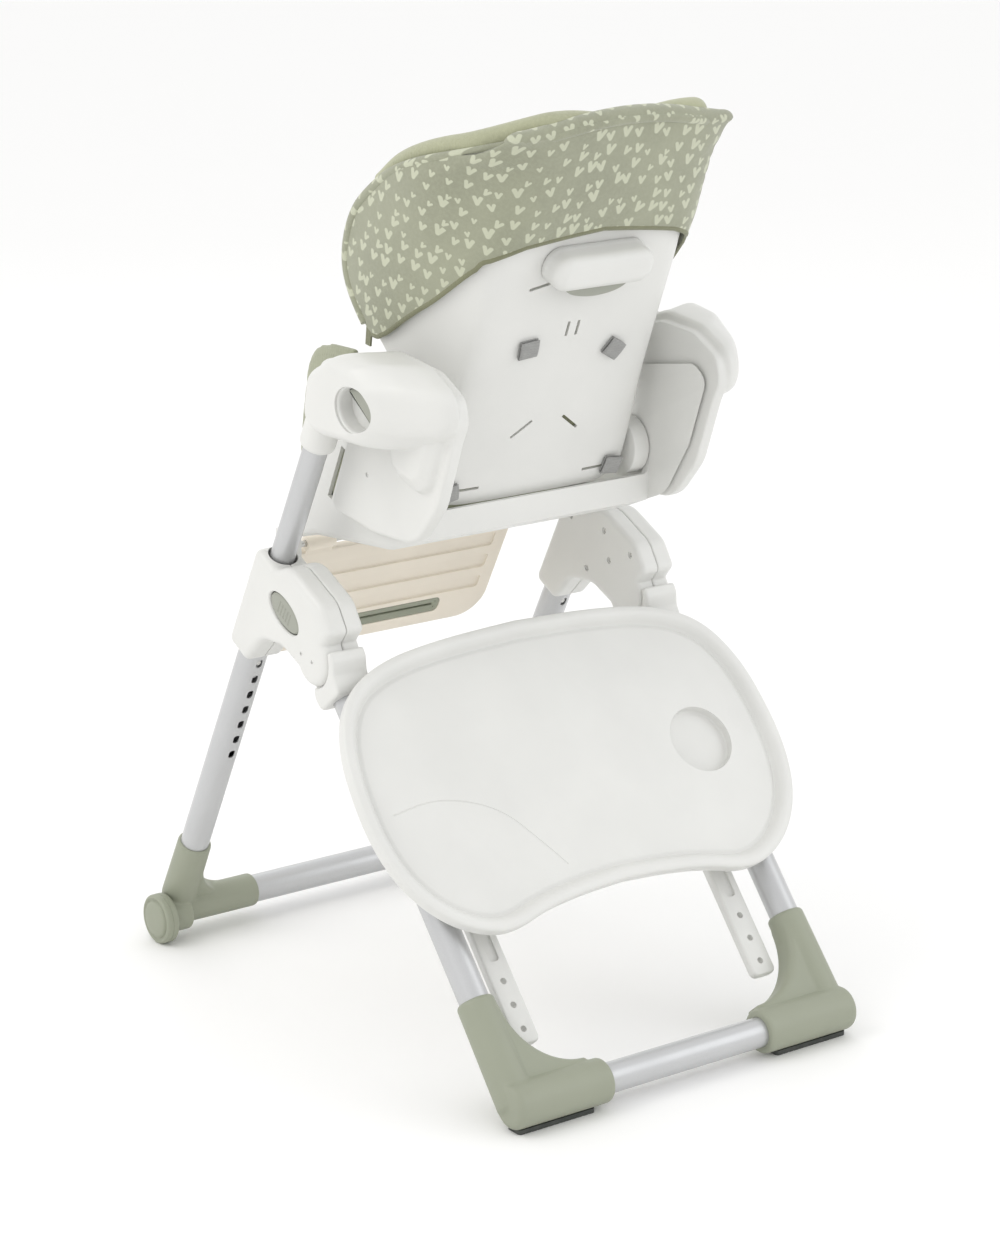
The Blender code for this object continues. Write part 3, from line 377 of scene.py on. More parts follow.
def piece(name, bm, look, body, node=None, cuts=(), sharp=35.0, joins=()):
    """A crisp piece that stands for a frame node, or is small trim of its own: solids joined on, then cut."""
    obj = carve(carve(link(name, bm), joins, "UNION"), cuts)
    show(obj, MATERIAL[look], body, sharp)
    if node:
        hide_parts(node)
    return obj


def moulding(name, parts, look, body, node, cuts=(), voxel=0.0015, rounds=5):
    """A moulded plastic piece: solids melted into one soft skin, then cut."""
    obj = carve(melt(link(name, merged(parts)), voxel, rounds), cuts)
    show(obj, MATERIAL[look], body, 40.0)
    if node:
        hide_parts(node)
    return obj


# Materials

# Where a Mix node keeps its factor, its two values and its result
MIX_FLOAT = (0, 2, 3)
MIX_COLOUR = (0, 6, 7)
MIX_COLOUR_OUT = 2


class Shader:
    """A material being wired up: each method adds one node and gives back its output."""

    def __init__(self, name, colour, roughness, metallic=0.0, **constants):
        self.material = bpy.data.materials.new(name)
        self.material.use_nodes = True
        self.tree = self.material.node_tree
        self.base = self.tree.nodes["Principled BSDF"]
        self.base.inputs["Base Color"].default_value = (*colour, 1)
        self.base.inputs["Roughness"].default_value = roughness
        self.base.inputs["Metallic"].default_value = metallic
        for socket, value in constants.items():
            self.base.inputs[socket.replace("_", " ")].default_value = value
        self.place = self.add("ShaderNodeTexCoord").outputs["Object"]

    def add(self, kind, **settings):
        node = self.tree.nodes.new(kind)
        for name, value in settings.items():
            setattr(node, name, value)
        return node

    def feed(self, socket, value):
        if isinstance(value, bpy.types.NodeSocket):
            self.tree.links.new(value, socket)
        else:
            socket.default_value = value

    def math(self, operation, *values, clamp=False):
        node = self.add("ShaderNodeMath", operation=operation, use_clamp=clamp)
        for socket, value in zip(node.inputs, values):
            self.feed(socket, value)
        return node.outputs[0]

    def vector(self, operation, *values):
        node = self.add("ShaderNodeVectorMath", operation=operation)
        for socket, value in zip(node.inputs, values):
            self.feed(socket, value)
        return node.outputs["Value" if operation in ("DOT_PRODUCT", "LENGTH") else "Vector"]

    def noise(self, scale, detail=3.0, at=None):
        node = self.add("ShaderNodeTexNoise")
        self.feed(node.inputs["Vector"], at or self.place)
        node.inputs["Scale"].default_value = scale
        node.inputs["Detail"].default_value = detail
        return node.outputs["Fac"]

    def spread(self, value, low, high, to_low, to_high):
        node = self.add("ShaderNodeMapRange")
        for socket, given in zip(node.inputs, (value, low, high, to_low, to_high)):
            self.feed(socket, given)
        return node.outputs[0]

    def mix(self, share, first, second):
        node = self.add("ShaderNodeMix", data_type="RGBA")
        for place, value in zip(MIX_COLOUR, (share, first, second)):
            self.feed(node.inputs[place], value)
        return node.outputs[MIX_COLOUR_OUT]

    def bump(self, height, distance, strength=1.0, under=None):
        node = self.add("ShaderNodeBump")
        node.inputs["Distance"].default_value = distance
        node.inputs["Strength"].default_value = strength
        self.feed(node.inputs["Height"], height)
        if under:
            self.feed(node.inputs["Normal"], under)
        return node.outputs["Normal"]

    def set(self, name, value):
        self.feed(self.base.inputs[name], value)


def shade(colour, factor):
    return tuple(min(1.0, c * factor) for c in colour) + (1.0,)


def plastic(name, colour, roughness=0.38, grain=0.00006, edge_highlight_amount=0.035):
    """Satin moulded plastic: faint grain, patchy gloss, and a painted highlight that makes its sharper edges
    slightly paler.
    """
    made = Shader(name, colour, roughness, Coat_Weight=0.08, Coat_Roughness=0.25)
    patch = made.noise(9.0, 4.0)
    body = made.mix(made.spread(patch, 0.3, 0.7, 0.0, 1.0), shade(colour, 0.965), shade(colour, 1.02))
    # Painted highlight: sharp convex edges, found by pointiness, are mixed towards a paler copy of the colour.
    edge = made.add("ShaderNodeNewGeometry").outputs["Pointiness"]
    edge_highlight_mask = made.spread(edge, 0.52, 0.60, 0.0, edge_highlight_amount * 10)
    made.set("Base Color", made.mix(edge_highlight_mask, body, shade(colour, 1.12)))
    smudge = made.noise(38.0, 5.0)
    made.set("Roughness", made.spread(smudge, 0.25, 0.75, roughness - 0.05, roughness + 0.08))
    made.set("Normal", made.bump(made.noise(900.0, 2.0), grain))
    return made.material


def painted_tube(name, colour):
    """Silver-grey powder paint: fine metallic fleck, slight orange peel."""
    made = Shader(name, colour, 0.36, 0.55, Coat_Weight=0.25, Coat_Roughness=0.18)
    fleck = made.noise(2600.0, 1.0)
    broad = made.noise(14.0, 3.0)
    speck = made.mix(made.spread(fleck, 0.35, 0.65, 0.0, 1.0), shade(colour, 0.93), shade(colour, 1.06))
    made.set("Base Color", made.mix(made.spread(broad, 0.3, 0.7, 0.0, 0.25), speck, shade(colour, 0.9)))
    made.set("Roughness", made.spread(broad, 0.3, 0.7, 0.31, 0.42))
    made.set("Normal", made.bump(made.noise(420.0, 2.0), 0.00005))
    return made.material


def bright_steel(name):
    """Plated steel with faint turning marks."""
    colour = (0.62, 0.62, 0.60)
    made = Shader(name, colour, 0.28, 1.0, Anisotropic=0.3)
    marks = made.noise(300.0, 2.0)
    made.set("Base Color", made.mix(marks, shade(colour, 0.85), shade(colour, 1.1)))
    made.set("Roughness", made.spread(marks, 0.3, 0.7, 0.2, 0.38))
    return made.material


def soft_rubber(name):
    colour = (0.055, 0.06, 0.055)
    made = Shader(name, colour, 0.82)
    dust = made.noise(60.0, 5.0)
    dusty = made.spread(dust, 0.45, 0.8, 0.0, 0.5)
    made.set("Base Color", made.mix(dusty, (*colour, 1), (0.14, 0.14, 0.13, 1)))
    made.set("Normal", made.bump(made.noise(500.0, 3.0), 0.0001))
    return made.material


def weave(made, pitch, at):
    """The height of a plain weave whose threads are pitch apart, over the flat place at."""
    split = made.add("ShaderNodeSeparateXYZ")
    made.feed(split.inputs[0], at)
    turn = math.pi / pitch
    warp = made.math("ABSOLUTE", made.math("SINE", made.math("MULTIPLY", split.outputs["X"], turn)))
    weft = made.math("ABSOLUTE", made.math("SINE", made.math("MULTIPLY", split.outputs["Y"], turn)))
    over = made.math("SINE", made.math("MULTIPLY", split.outputs["X"], turn / 2))
    under = made.math("SINE", made.math("MULTIPLY", split.outputs["Y"], turn / 2))
    swap = made.spread(made.math("MULTIPLY", over, under), -0.3, 0.3, 0.0, 1.0)
    node = made.add("ShaderNodeMix", data_type="FLOAT")
    for place, value in zip(MIX_FLOAT, (swap, warp, weft)):
        made.feed(node.inputs[place], value)
    return node.outputs[0]


def fabric(name, colour, pitch=0.0011, printed=False, flat=None, sheen=0.35):
    """Woven cloth, with a scattered print of small pale heart-like marks if it is printed."""
    made = Shader(name, colour, 0.86, Sheen_Weight=sheen, Sheen_Roughness=0.5)
    at = made.place
    if flat:
        at = made.add("ShaderNodeAttribute", attribute_name=flat).outputs["Vector"]
    thread = weave(made, pitch, at)
    fade = made.noise(11.0, 4.0)
    slub = made.noise(260.0, 2.0)
    body = made.mix(made.spread(fade, 0.3, 0.7, 0.0, 1.0), shade(colour, 0.90), shade(colour, 1.08))
    body = made.mix(made.spread(slub, 0.4, 0.75, 0.0, 0.35), body, shade(colour, 1.25))
    if printed:
        body = made.mix(hearts(made, at), body, PRINT)
    # Painted shade: where the weave is low, between the threads, the colour is darkened towards 0.62 of itself.
    made.set("Base Color", made.mix(made.spread(thread, 0.0, 0.5, 0.32, 0.0), body, shade(colour, 0.62)))
    creases = made.bump(made.noise(30.0, 3.0), 0.0012)
    made.set("Normal", made.bump(thread, 0.00022, under=creases))
    return made.material


def hearts(made, at):
    """Where the print is: a small V of two round strokes in each cell, with its own size and lean."""
    cell = 0.0200
    cells = made.add("ShaderNodeTexVoronoi", voronoi_dimensions="2D")
    cells.inputs["Scale"].default_value = 1.0
    cells.inputs["Randomness"].default_value = 0.62
    spot = made.vector("SCALE", at)
    spot.node.inputs["Scale"].default_value = 1 / cell
    made.feed(cells.inputs["Vector"], spot)
    local = made.vector("SUBTRACT", spot, cells.outputs["Position"])
    chance = made.add("ShaderNodeSeparateColor")
    made.feed(chance.inputs[0], cells.outputs["Color"])
    lean = made.spread(chance.outputs["Red"], 0.0, 1.0, -0.5, 0.35)
    spin = made.add("ShaderNodeVectorRotate", rotation_type="Z_AXIS")
    made.feed(spin.inputs["Vector"], local)
    made.feed(spin.inputs["Angle"], lean)
    size = made.spread(chance.outputs["Green"], 0.0, 1.0, 0.17, 0.36)
    split = made.add("ShaderNodeSeparateXYZ")
    made.feed(split.inputs[0], spin.outputs["Vector"])
    u = made.math("DIVIDE", made.math("ABSOLUTE", split.outputs["X"]), size)
    v = made.math("DIVIDE", split.outputs["Y"], size)
    root, tip = Vector((0.02, -0.75)), Vector((0.62, 0.55))
    reach = tip - root
    du, dv = made.math("SUBTRACT", u, root.x), made.math("SUBTRACT", v, root.y)
    along = made.math("ADD", made.math("MULTIPLY", du, reach.x), made.math("MULTIPLY", dv, reach.y))
    along = made.math("DIVIDE", along, reach.length_squared, clamp=True)
    du = made.math("SUBTRACT", du, made.math("MULTIPLY", along, reach.x))
    dv = made.math("SUBTRACT", dv, made.math("MULTIPLY", along, reach.y))
    away = made.math("SQRT", made.math("ADD", made.math("MULTIPLY", du, du), made.math("MULTIPLY", dv, dv)))
    return made.spread(away, 0.34, 0.48, 0.9, 0.0)


def ribbed_webbing(name, colour):
    """Narrow woven strap with cross ribs."""
    made = Shader(name, colour, 0.85, Sheen_Weight=0.2)
    thread = weave(made, 0.0013, made.place)
    body = made.mix(made.noise(120.0, 3.0), shade(colour, 0.82), shade(colour, 1.12))
    # Painted shade: where the weave is low, between the threads, the colour is darkened towards half of itself.
    made.set("Base Color", made.mix(made.spread(thread, 0.0, 0.6, 0.4, 0.0), body, shade(colour, 0.5)))
    made.set("Normal", made.bump(thread, 0.0003))
    return made.material


WHITE = (0.715, 0.715, 0.690)
CREAM = (0.86, 0.79, 0.68)
SAGE = (0.310, 0.328, 0.252)
SAGE_CLOTH = (0.335, 0.345, 0.250)
BUTTON = (0.330, 0.340, 0.290)
TUBE_GREY = (0.555, 0.560, 0.565)
PRINT = (0.60, 0.62, 0.47, 1)

MATERIAL = {
    "white": plastic("white_plastic", WHITE, 0.36),
    "cream": plastic("cream_plastic", CREAM, 0.42),
    "sage": plastic("sage_plastic", SAGE, 0.5, 0.00012, 0.02),
    "button": plastic("button_plastic", BUTTON, 0.42),
    "tube": painted_tube("grey_tube", TUBE_GREY),
    "steel": bright_steel("steel"),
    "rubber": soft_rubber("dark_rubber"),
    "print": fabric("printed_hood_cloth", SAGE_CLOTH, 0.0010, True, "cloth_at"),
    "cloth": fabric("sage_cloth", SAGE_CLOTH),
    "liner": fabric("pale_liner_cloth", (0.34, 0.355, 0.250), 0.0012),
    "roll": fabric("head_roll_cloth", (0.41, 0.42, 0.28), 0.0012),
    "binding": fabric("hem_binding", (0.20, 0.205, 0.120), 0.0009),
    "webbing": ribbed_webbing("webbing", (0.33, 0.33, 0.32)),
}


# Screws


SCREW_HEAD_R = 0.0034


def screw(name, at, facing, body, radius=SCREW_HEAD_R):
    """A recessed pan head with a cross, sunk a little below the point it is placed at."""
    facing = Vector(facing).normalized()
    start = Vector(at) - facing * 0.0018
    head = loft(round_rings(start, start + facing, [
        (0.0, radius), (0.0012, radius), (0.0018, radius * 0.82), (0.0021, radius * 0.4),
    ], 24))
    wide = facing.orthogonal().normalized()
    cross = []
    for side in (wide, facing.cross(wide)):
        low, high = start + facing * 0.0009, start + facing * 0.0030
        cross.append(bar(low, high, side, radius * 0.62, radius * 0.13, facing.cross(side)))
    piece(name, head, "steel", body, cuts=cross)


# Frame


def front_leg(name, side):
    x = side * HALF_TRACK
    slots = []
    for k in range(SLOT_COUNT):
        centre = on_front(x, TOP_SLOT_T - k * SLOT_PITCH, TUBE_R - 0.004)
        outline = box_outline(-0.004, -0.006, 0.004, 0.006, 0.0035)
        rings = [[centre + X * p.x + FRONT_UP * p.y + FRONT_OUT * h for p in outline] for h in (0, 0.012)]
        slots.append(loft(rings))
    tube = pipe(on_front(x, 0.055), on_front(x, LOWER_TUBE_TOP_T), TUBE_R, TUBE_R - TUBE_WALL, 72)
    piece(f"lower_tube_{name}", tube, "tube", "front_frame", f"front_leg_tube_{name}", slots)


def gusset(side, place, tops, reach, depth, thick, soft):
    """The web that fills the inner corner of a foot between its leg sleeve and its bar sleeve."""
    top_x, top_t = tops
    reach_x, low_t = reach
    outer_x = HALF_TRACK + 0.010
    points = [Vector((side * a, b)) for a, b in ((outer_x, low_t), (outer_x, top_t), (top_x, top_t))]
    for k in range(1, 24):
        angle = math.pi / 2 * k / 24
        a = reach_x + (top_x - reach_x) * math.cos(angle)
        b = low_t + depth + (top_t - low_t - depth) * (1 - math.sin(angle))
        points.append(Vector((side * a, b)))
    points.append(Vector((side * reach_x, low_t + depth)))
    points.append(Vector((side * reach_x, low_t)))
    return pillow(points, -thick, thick, place, soft, soft, 4)


def foot_bar(at, x0, x1, radius, side):
    start, end = Vector((side * x0, *at)), Vector((side * x1, *at))
    length = (end - start).length
    soft = 0.006
    profile = [(0, radius - 0.002), (0.002, radius), (length - soft, radius)]
    profile += [(length - soft * 0.35, radius - soft * 0.35), (length, radius - soft)]
    return loft(round_rings(start, end, profile))


def front_foot(name, side):
    x = side * HALF_TRACK
    sleeve_profile = [(0, 0.0140), (0.010, 0.0195), (0.03, 0.0225), (0.121, 0.0215), (0.123, 0.0198)]
    axle_at = (WHEEL_Y, WHEEL_R)
    parts = [
        loft(round_rings(on_front(x, 0.034), on_front(x, 0.157), sleeve_profile)),
        gusset(side, on_front, (0.2105, 0.118), (0.150, 0.030), 0.026, 0.014, 0.006),
        foot_bar(FRONT_BAR, 0.119, 0.2515, 0.0215, side),
        across(side * 0.225, side * 0.2525, axle_at, 0.021, chamfer=0.002),
    ]
    cuts = [
        rod(on_front(x, 0.055 - GAP), on_front(x, 0.2), TUBE_R + GAP),
        across(side * 0.1, side * (CROSSBAR_HALF + GAP), FRONT_BAR, TUBE_R + GAP),
        across(side * 0.2335, side * 0.27, axle_at, AXLE_HOLE_R),
    ]
    moulding(f"front_socket_{name}", parts, "sage", "front_frame", f"front_foot_{name}", cuts, 0.0014, 8)
    screw_at = on_front(side * (HALF_TRACK - 0.0218), 0.095)
    screw(f"front_foot_screw_{name}", screw_at, (-side, 0, 0), "front_frame")


def wheel(name, side):
    """A moulded wheel with a tread band, a dished face and a raised hub cap."""
    start = Vector((side * 0.2535, WHEEL_Y, WHEEL_R))
    end = start + X * side * 0.02
    profile = [
        (0.015, AXLE_HOLE_R), (0, AXLE_HOLE_R), (0, 0.014), (0.0015, 0.0155), (0.0015, 0.0265),
        (0, 0.0285), (0.0004, 0.0305),
        (0.0022, 0.0318), (0.0032, WHEEL_R), (0.0085, WHEEL_R), (0.0090, 0.0314), (0.0096, WHEEL_R),
        (0.0140, WHEEL_R), (0.0160, 0.0314), (0.0172, 0.0300), (0.0174, 0.0285), (0.0160, 0.0262),
        (0.0160, 0.0246), (0.0178, 0.0236), (0.0190, 0.0222), (0.0197, 0.0190), (0.020, 0.0120),
        (0.020, 0.004),
    ]
    rim = loft(round_rings(start, end, profile, 96))
    piece(f"road_wheel_{name}", rim, "sage", f"wheel_{name}", f"wheel_{name}")


def crossbar(name, at, body, node):
    start, end = Vector((-CROSSBAR_HALF, *at)), Vector((CROSSBAR_HALF, *at))
    piece(name, pipe(start, end, TUBE_R, TUBE_R - TUBE_WALL, 72), "tube", body, node)


def rear_foot(name, side):
    x = side * HALF_TRACK
    sleeve_profile = [(0, 0.020), (0.006, 0.0245), (0.131, 0.0225), (0.1344, 0.0200)]
    parts = [
        loft(round_rings(on_rear(x, 0.030), on_rear(x, 0.1644), sleeve_profile)),
        gusset(side, on_rear, (0.2095, 0.150), (0.128, 0.0265), 0.038, 0.0182, 0.009),
        foot_bar(REAR_BAR, 0.116, 0.2500, 0.0265, side),
    ]
    cuts = [
        block((-0.4, 0.2, -0.1), (0.4, 0.6, 0.0062)),
        rod(on_rear(x, 0.040 - GAP), on_rear(x, 0.2), TUBE_R + GAP),
        across(side * 0.1, side * (CROSSBAR_HALF + GAP), REAR_BAR, TUBE_R + GAP),
    ]
    moulding(f"rear_socket_{name}", parts, "sage", "rear_frame", f"rear_foot_{name}", cuts, 0.0015, 10)
    bar_y = REAR_BAR[0]
    sole = box_outline(0.135, bar_y - 0.012, 0.242, bar_y + 0.012, 0.004)
    treads = [
        block((side * a - 0.0008, bar_y - 0.02, -0.001), (side * a + 0.0008, bar_y + 0.02, 0.0010))
        for a in (0.145 + 0.008 * k for k in range(12))
    ]
    outline = [Vector((side * p.x, p.y)) for p in sole]
    pad = pillow(outline, 0.0, 0.0059, lambda a, b, h: Vector((a, b, h)), 0.0006)
    piece(f"sole_pad_{name}", pad, "rubber", "rear_frame", f"rear_foot_pad_{name}", treads)


def rear_leg(name, side):
    x = side * HALF_TRACK
    tube = pipe(on_rear(x, 0.040), on_rear(x, PIVOT_T - 0.014), TUBE_R, TUBE_R - TUBE_WALL, 72)
    piece(f"rear_tube_{name}", tube, "tube", "rear_frame", f"rear_leg_tube_{name}")


def cover_outline():
    """The leg joint housing from the side: a sleeve on the front leg and an arm out to the fold pivot."""
    low_t, top_t, half = 0.488, 0.634, COVER_SLEEVE
    low_front, low_back = on_front(0, low_t, -half), on_front(0, low_t, half)
    top_back, top_front = on_front(0, top_t, half), on_front(0, top_t, -half)
    lobe = [
        Vector((FOLD_AT.y + HUB_R * math.cos(angle), FOLD_AT.z + HUB_R * math.sin(angle)))
        for angle in (math.radians(-150 + 9.5 * k) for k in range(21))
    ]
    under = [
        (low_front.y, low_front.z, 0.010),
        (low_back.y, low_back.z, 0.010),
        (-0.118, 0.460, 0.03),
        (-0.075, 0.462, 0.03),
    ]
    over = [
        (0.030, 0.501, 0.008),
        (0.010, 0.532, 0.03),
        (-0.055, 0.564, 0.04),
        (top_back.y, top_back.z, 0.010),
        (top_front.y, top_front.z, 0.010),
    ]
    points = rounded_run((top_front.y, top_front.z), under, lobe[0])
    return points + lobe + rounded_run(lobe[-1], over, (low_front.y, low_front.z))


def rounded_run(before, corners, after):
    """The arcs of some corners between two neighbouring points that are left out."""
    return rounded([(*before, 0)] + corners + [(*after, 0)])[1:-1]


def corridor():
    """The room inside the housing that the knuckle turns through, open downwards."""
    radius = KNUCKLE_HALF + 0.0075
    first, last = REAR_LEAN, math.pi - FRONT_LEAN
    points = []
    for k in range(25):
        angle = first + (last - first) * k / 24
        points.append(Vector((FOLD_AT.y + radius * math.cos(angle), FOLD_AT.z + radius * math.sin(angle))))
    points.append(points[-1] + Vector((-math.sin(FRONT_LEAN), -math.cos(FRONT_LEAN))) * 0.12)
    points.append(points[0] + Vector((math.sin(REAR_LEAN), -math.cos(REAR_LEAN))) * 0.12)
    return points


def flared(outline, low, high, flare, place=side_view):
    """A cutter that widens in a soft lip at its high end."""
    sign = 1 if high > low else -1
    levels = [(0.0, low), (0.0, high - sign * flare * 2)]
    levels += [(-flare * (1 - math.cos(a)), high - sign * flare * 2 * (1 - math.sin(a))) for a in (
        math.pi / 2 * k / 4 for k in range(1, 5)
    )]
    levels.append((-flare * 1.2, high + sign * 0.012))
    return loft([[place(p.x, p.y, height) for p in inset(outline, away)] for away, height in levels])


def joint_covers(name, side):
    """The two halves of a leg joint's housing, its screws and its fold button."""
    outline = cover_outline()
    inner = inset(outline, 0.004)
    middle = HALF_TRACK
    button = ellipse(*FOLD_BUTTON_AT, 0.034, 0.0175, -0.5)

    def leg_bore():
        return rod(on_front(side * middle, 0.4), on_front(side * middle, 0.7), TUBE_R + GAP)

    shell = [pillow(outline, side * (middle + GAP), side * COVER_OUT, high_r=0.009)]
    cuts = [
        pillow(inner, side * (middle - 0.01), side * (COVER_OUT - COVER_FACE)),
        leg_bore(),
        pillow(corridor(), side * (middle - 0.01), side * (middle + KNUCKLE_HALF + 0.001)),
        flared(button, side * (COVER_OUT - 0.014), side * (COVER_OUT + 0.0002), 0.0022),
    ]
    node = f"leg_joint_outer_cover_{name}"
    moulding(f"housing_outer_{name}", shell, "white", "front_frame", node, cuts, 0.0014, 8)
    shell = [pillow(outline, side * COVER_IN, side * (middle - GAP), low_r=0.006)]
    cuts = [
        pillow(inner, side * (COVER_IN + COVER_FACE), side * (middle + 0.01)),
        leg_bore(),
        pillow(corridor(), side * (middle - KNUCKLE_HALF - 0.001), side * (middle + 0.01)),
    ]
    places = ((-0.118, 0.541), (-0.085, 0.480), (-0.050, 0.536), (-0.040, 0.500), (0.002, 0.516))
    cuts += [across(side * (COVER_IN - 0.001), side * (COVER_IN + 0.0022), at, 0.0042, 24) for at in places]
    node = f"leg_joint_inner_cover_{name}"
    moulding(f"housing_inner_{name}", shell, "white", "front_frame", node, cuts, 0.0014, 8)
    for i, at in enumerate(places):
        at = Vector((side * (COVER_IN + 0.0022), *at))
        screw(f"housing_screw_{name}_{i}", at, (-side, 0, 0), "front_frame")
    for i, at in enumerate(((-0.029, 0.465), (-0.006, 0.460))):
        at = Vector((side * (COVER_OUT + 0.0004), *at))
        screw(f"housing_outer_screw_{name}_{i}", at, (side, 0, 0), "front_frame", 0.0026)
    low, high = side * (COVER_OUT - 0.0105), side * (COVER_OUT - 0.0015)
    grips = []
    push = pillow(inset(button, 0.0006), low, high, high_r=0.0035)
    along = Matrix.Rotation(-0.5, 2) @ Vector((1, 0))
    wide = Vector((0, -along.y, along.x))
    for k in range(-2, 3):
        centre = Vector(FOLD_BUTTON_AT) + along * 0.006 * k
        start = Vector((high + side * 0.0012, centre.x, centre.y))
        grips.append(rod(start - wide * 0.008, start + wide * 0.008, 0.0020, 0.0006, 16))
    piece(f"fold_push_{name}", push, "button", f"fold_button_{name}", f"fold_button_{name}", grips)


def knuckle(name, side):
    """The moulded end of a rear leg that turns on the fold pivot."""
    x = side * HALF_TRACK
    low_t = PIVOT_T - 0.058
    half = KNUCKLE_HALF + 0.0045
    tongue = [Vector((half, low_t + 0.01)), Vector((half, PIVOT_T))]
    tongue += [
        Vector((half * math.cos(a), PIVOT_T + half * math.sin(a)))
        for a in (math.pi * k / 30 for k in range(1, 30))
    ]
    tongue += [Vector((-half, PIVOT_T)), Vector((-half, low_t + 0.01))]
    edge = HUB_R + 0.0012
    cap = [
        Vector((edge * math.sin(a), PIVOT_T - edge * math.cos(a)))
        for a in (math.radians(-36 + 5.5 * k) for k in range(21))
    ]
    cap += rounded([
        (a, PIVOT_T + b, radius)
        for a, b, radius in (
            (0.0335, -0.004, 0), (0.0405, -0.012, 0.004), (0.0385, -0.0235, 0.01), (0.029, -0.036, 0.012),
            (0.0265, -0.050, 0.01), (0.0235, -0.058, 0.004), (-0.020, -0.058, 0.004), (-0.025, -0.052, 0.003),
            (-0.026, -0.038, 0),
        )
    ])[1:]
    near, far = HALF_TRACK - KNUCKLE_HALF, HALF_TRACK + KNUCKLE_HALF
    parts = [
        pillow(tongue, side * near, side * far, rear_side_view),
        pillow(cap, side * (COVER_IN + 0.001), side * (COVER_OUT - 0.001), rear_side_view, 0.003, 0.0035),
    ]
    cuts = [
        rod(on_rear(x, low_t - 0.02), on_rear(x, PIVOT_T - 0.014 + GAP), TUBE_R + GAP),
        across(side * 0.19, side * 0.27, FOLD_AT, 0.0053),
    ]
    moulding(f"knuckle_{name}", parts, "white", "rear_frame", f"rear_knuckle_{name}", cuts, 0.0013, 14)


# Arm rests

ARM_SECTIONS = (
    (0.1900, 0.0040, 1.00), (0.1950, 0.0000, 1.00), (0.2100, 0.0000, 0.97),
    (0.2320, 0.0000, 0.85), (0.2480, 0.0015, 0.74), (0.2600, 0.0060, 0.66), (0.2665, 0.0140, 0.61),
)
ARM_HOLLOW = ((0.1985, 0.0050, 1.00), (0.2120, 0.0050, 0.96), (0.2250, 0.0050, 0.88), (0.2400, 0.0060, 0.77))


def curve(pairs, value):
    """A smooth curve through (place, amount, ...) rows, read at a place."""
    row = next((i for i in range(len(pairs) - 2) if value < pairs[i + 1][0]), len(pairs) - 2)
    low, high = pairs[row], pairs[row + 1]
    before, after = pairs[max(row - 1, 0)], pairs[min(row + 2, len(pairs) - 1)]
    span = high[0] - low[0]
    u = min(1.0, max(0.0, (value - low[0]) / span))
    read = []
    for k in range(1, len(low)):
        rise = high[k] - low[k]
        start = (high[k] - before[k]) / (high[0] - before[0]) * span
        end = (after[k] - low[k]) / (after[0] - low[0]) * span
        if rise * start <= 0:
            start = 0.0
        if rise * end <= 0:
            end = 0.0
        start = max(-3 * abs(rise), min(3 * abs(rise), start))
        end = max(-3 * abs(rise), min(3 * abs(rise), end))
        square, cube = u * u, u * u * u
        read.append(
            low[k] * (2 * cube - 3 * square + 1) + high[k] * (3 * square - 2 * cube)
            + start * (cube - 2 * square + u) + end * (cube - square)
        )
    return read[0] if len(read) == 1 else read


def arm_loft(side, sections, rows=1):
    """The arm rest's drum: it grows shorter at the back towards its outer face."""
    front = -0.012
    outline = rounded([
        (front, 0.748, 0.025),
        (0.030, 0.733, 0.03),
        (0.150, 0.735, 0.05),
        (0.206, 0.765, 0.03),
        (0.200, 0.806, 0.03),
        (0.150, 0.832, 0.04),
        (0.085, 0.839, 0.05),
        (0.008, 0.812, 0.03),
    ])
    if rows > 1:
        first, last = sections[0][0], sections[-1][0]
        places = [first + (last - first) * k / rows for k in range(rows + 1)]
        sections = [(x, *curve(sections, x)) for x in places]
    rings = []
    for x, away, share in sections:
        rings.append([Vector((side * x, front + (p.x - front) * share, p.y)) for p in inset(outline, away)])
    return loft(rings)


def arm_swell(side):
    """The arm rest's rear, where the skirt fills out towards the drum."""
    outline = rounded([
        (0.085, 0.690, 0.03),
        (0.150, 0.672, 0.03),
        (0.176, 0.735, 0.03),
        (0.190, 0.775, 0.01),
        (0.085, 0.775, 0.01),
    ])
    # Each section as (set in all round, across the chair, raised by)
    sections = ((0, ARM_SKIRT - 0.006, 0), (0.004, 0.2035, 0.004), (0.012, 0.2140, 0.012))
    return loft([
        [side_view(p.x, p.y + rise, side * across_chair) for p in inset(outline, away)]
        for away, across_chair, rise in sections
    ])


def half_button(outline, turn):
    """The part of a round button on the far side of a straight slanting edge through its middle."""
    middle = sum(outline, Vector((0, 0))) / len(outline)
    facing = Vector((math.cos(turn), math.sin(turn)))
    return [p for p in outline if (p - middle).dot(facing) > 0]


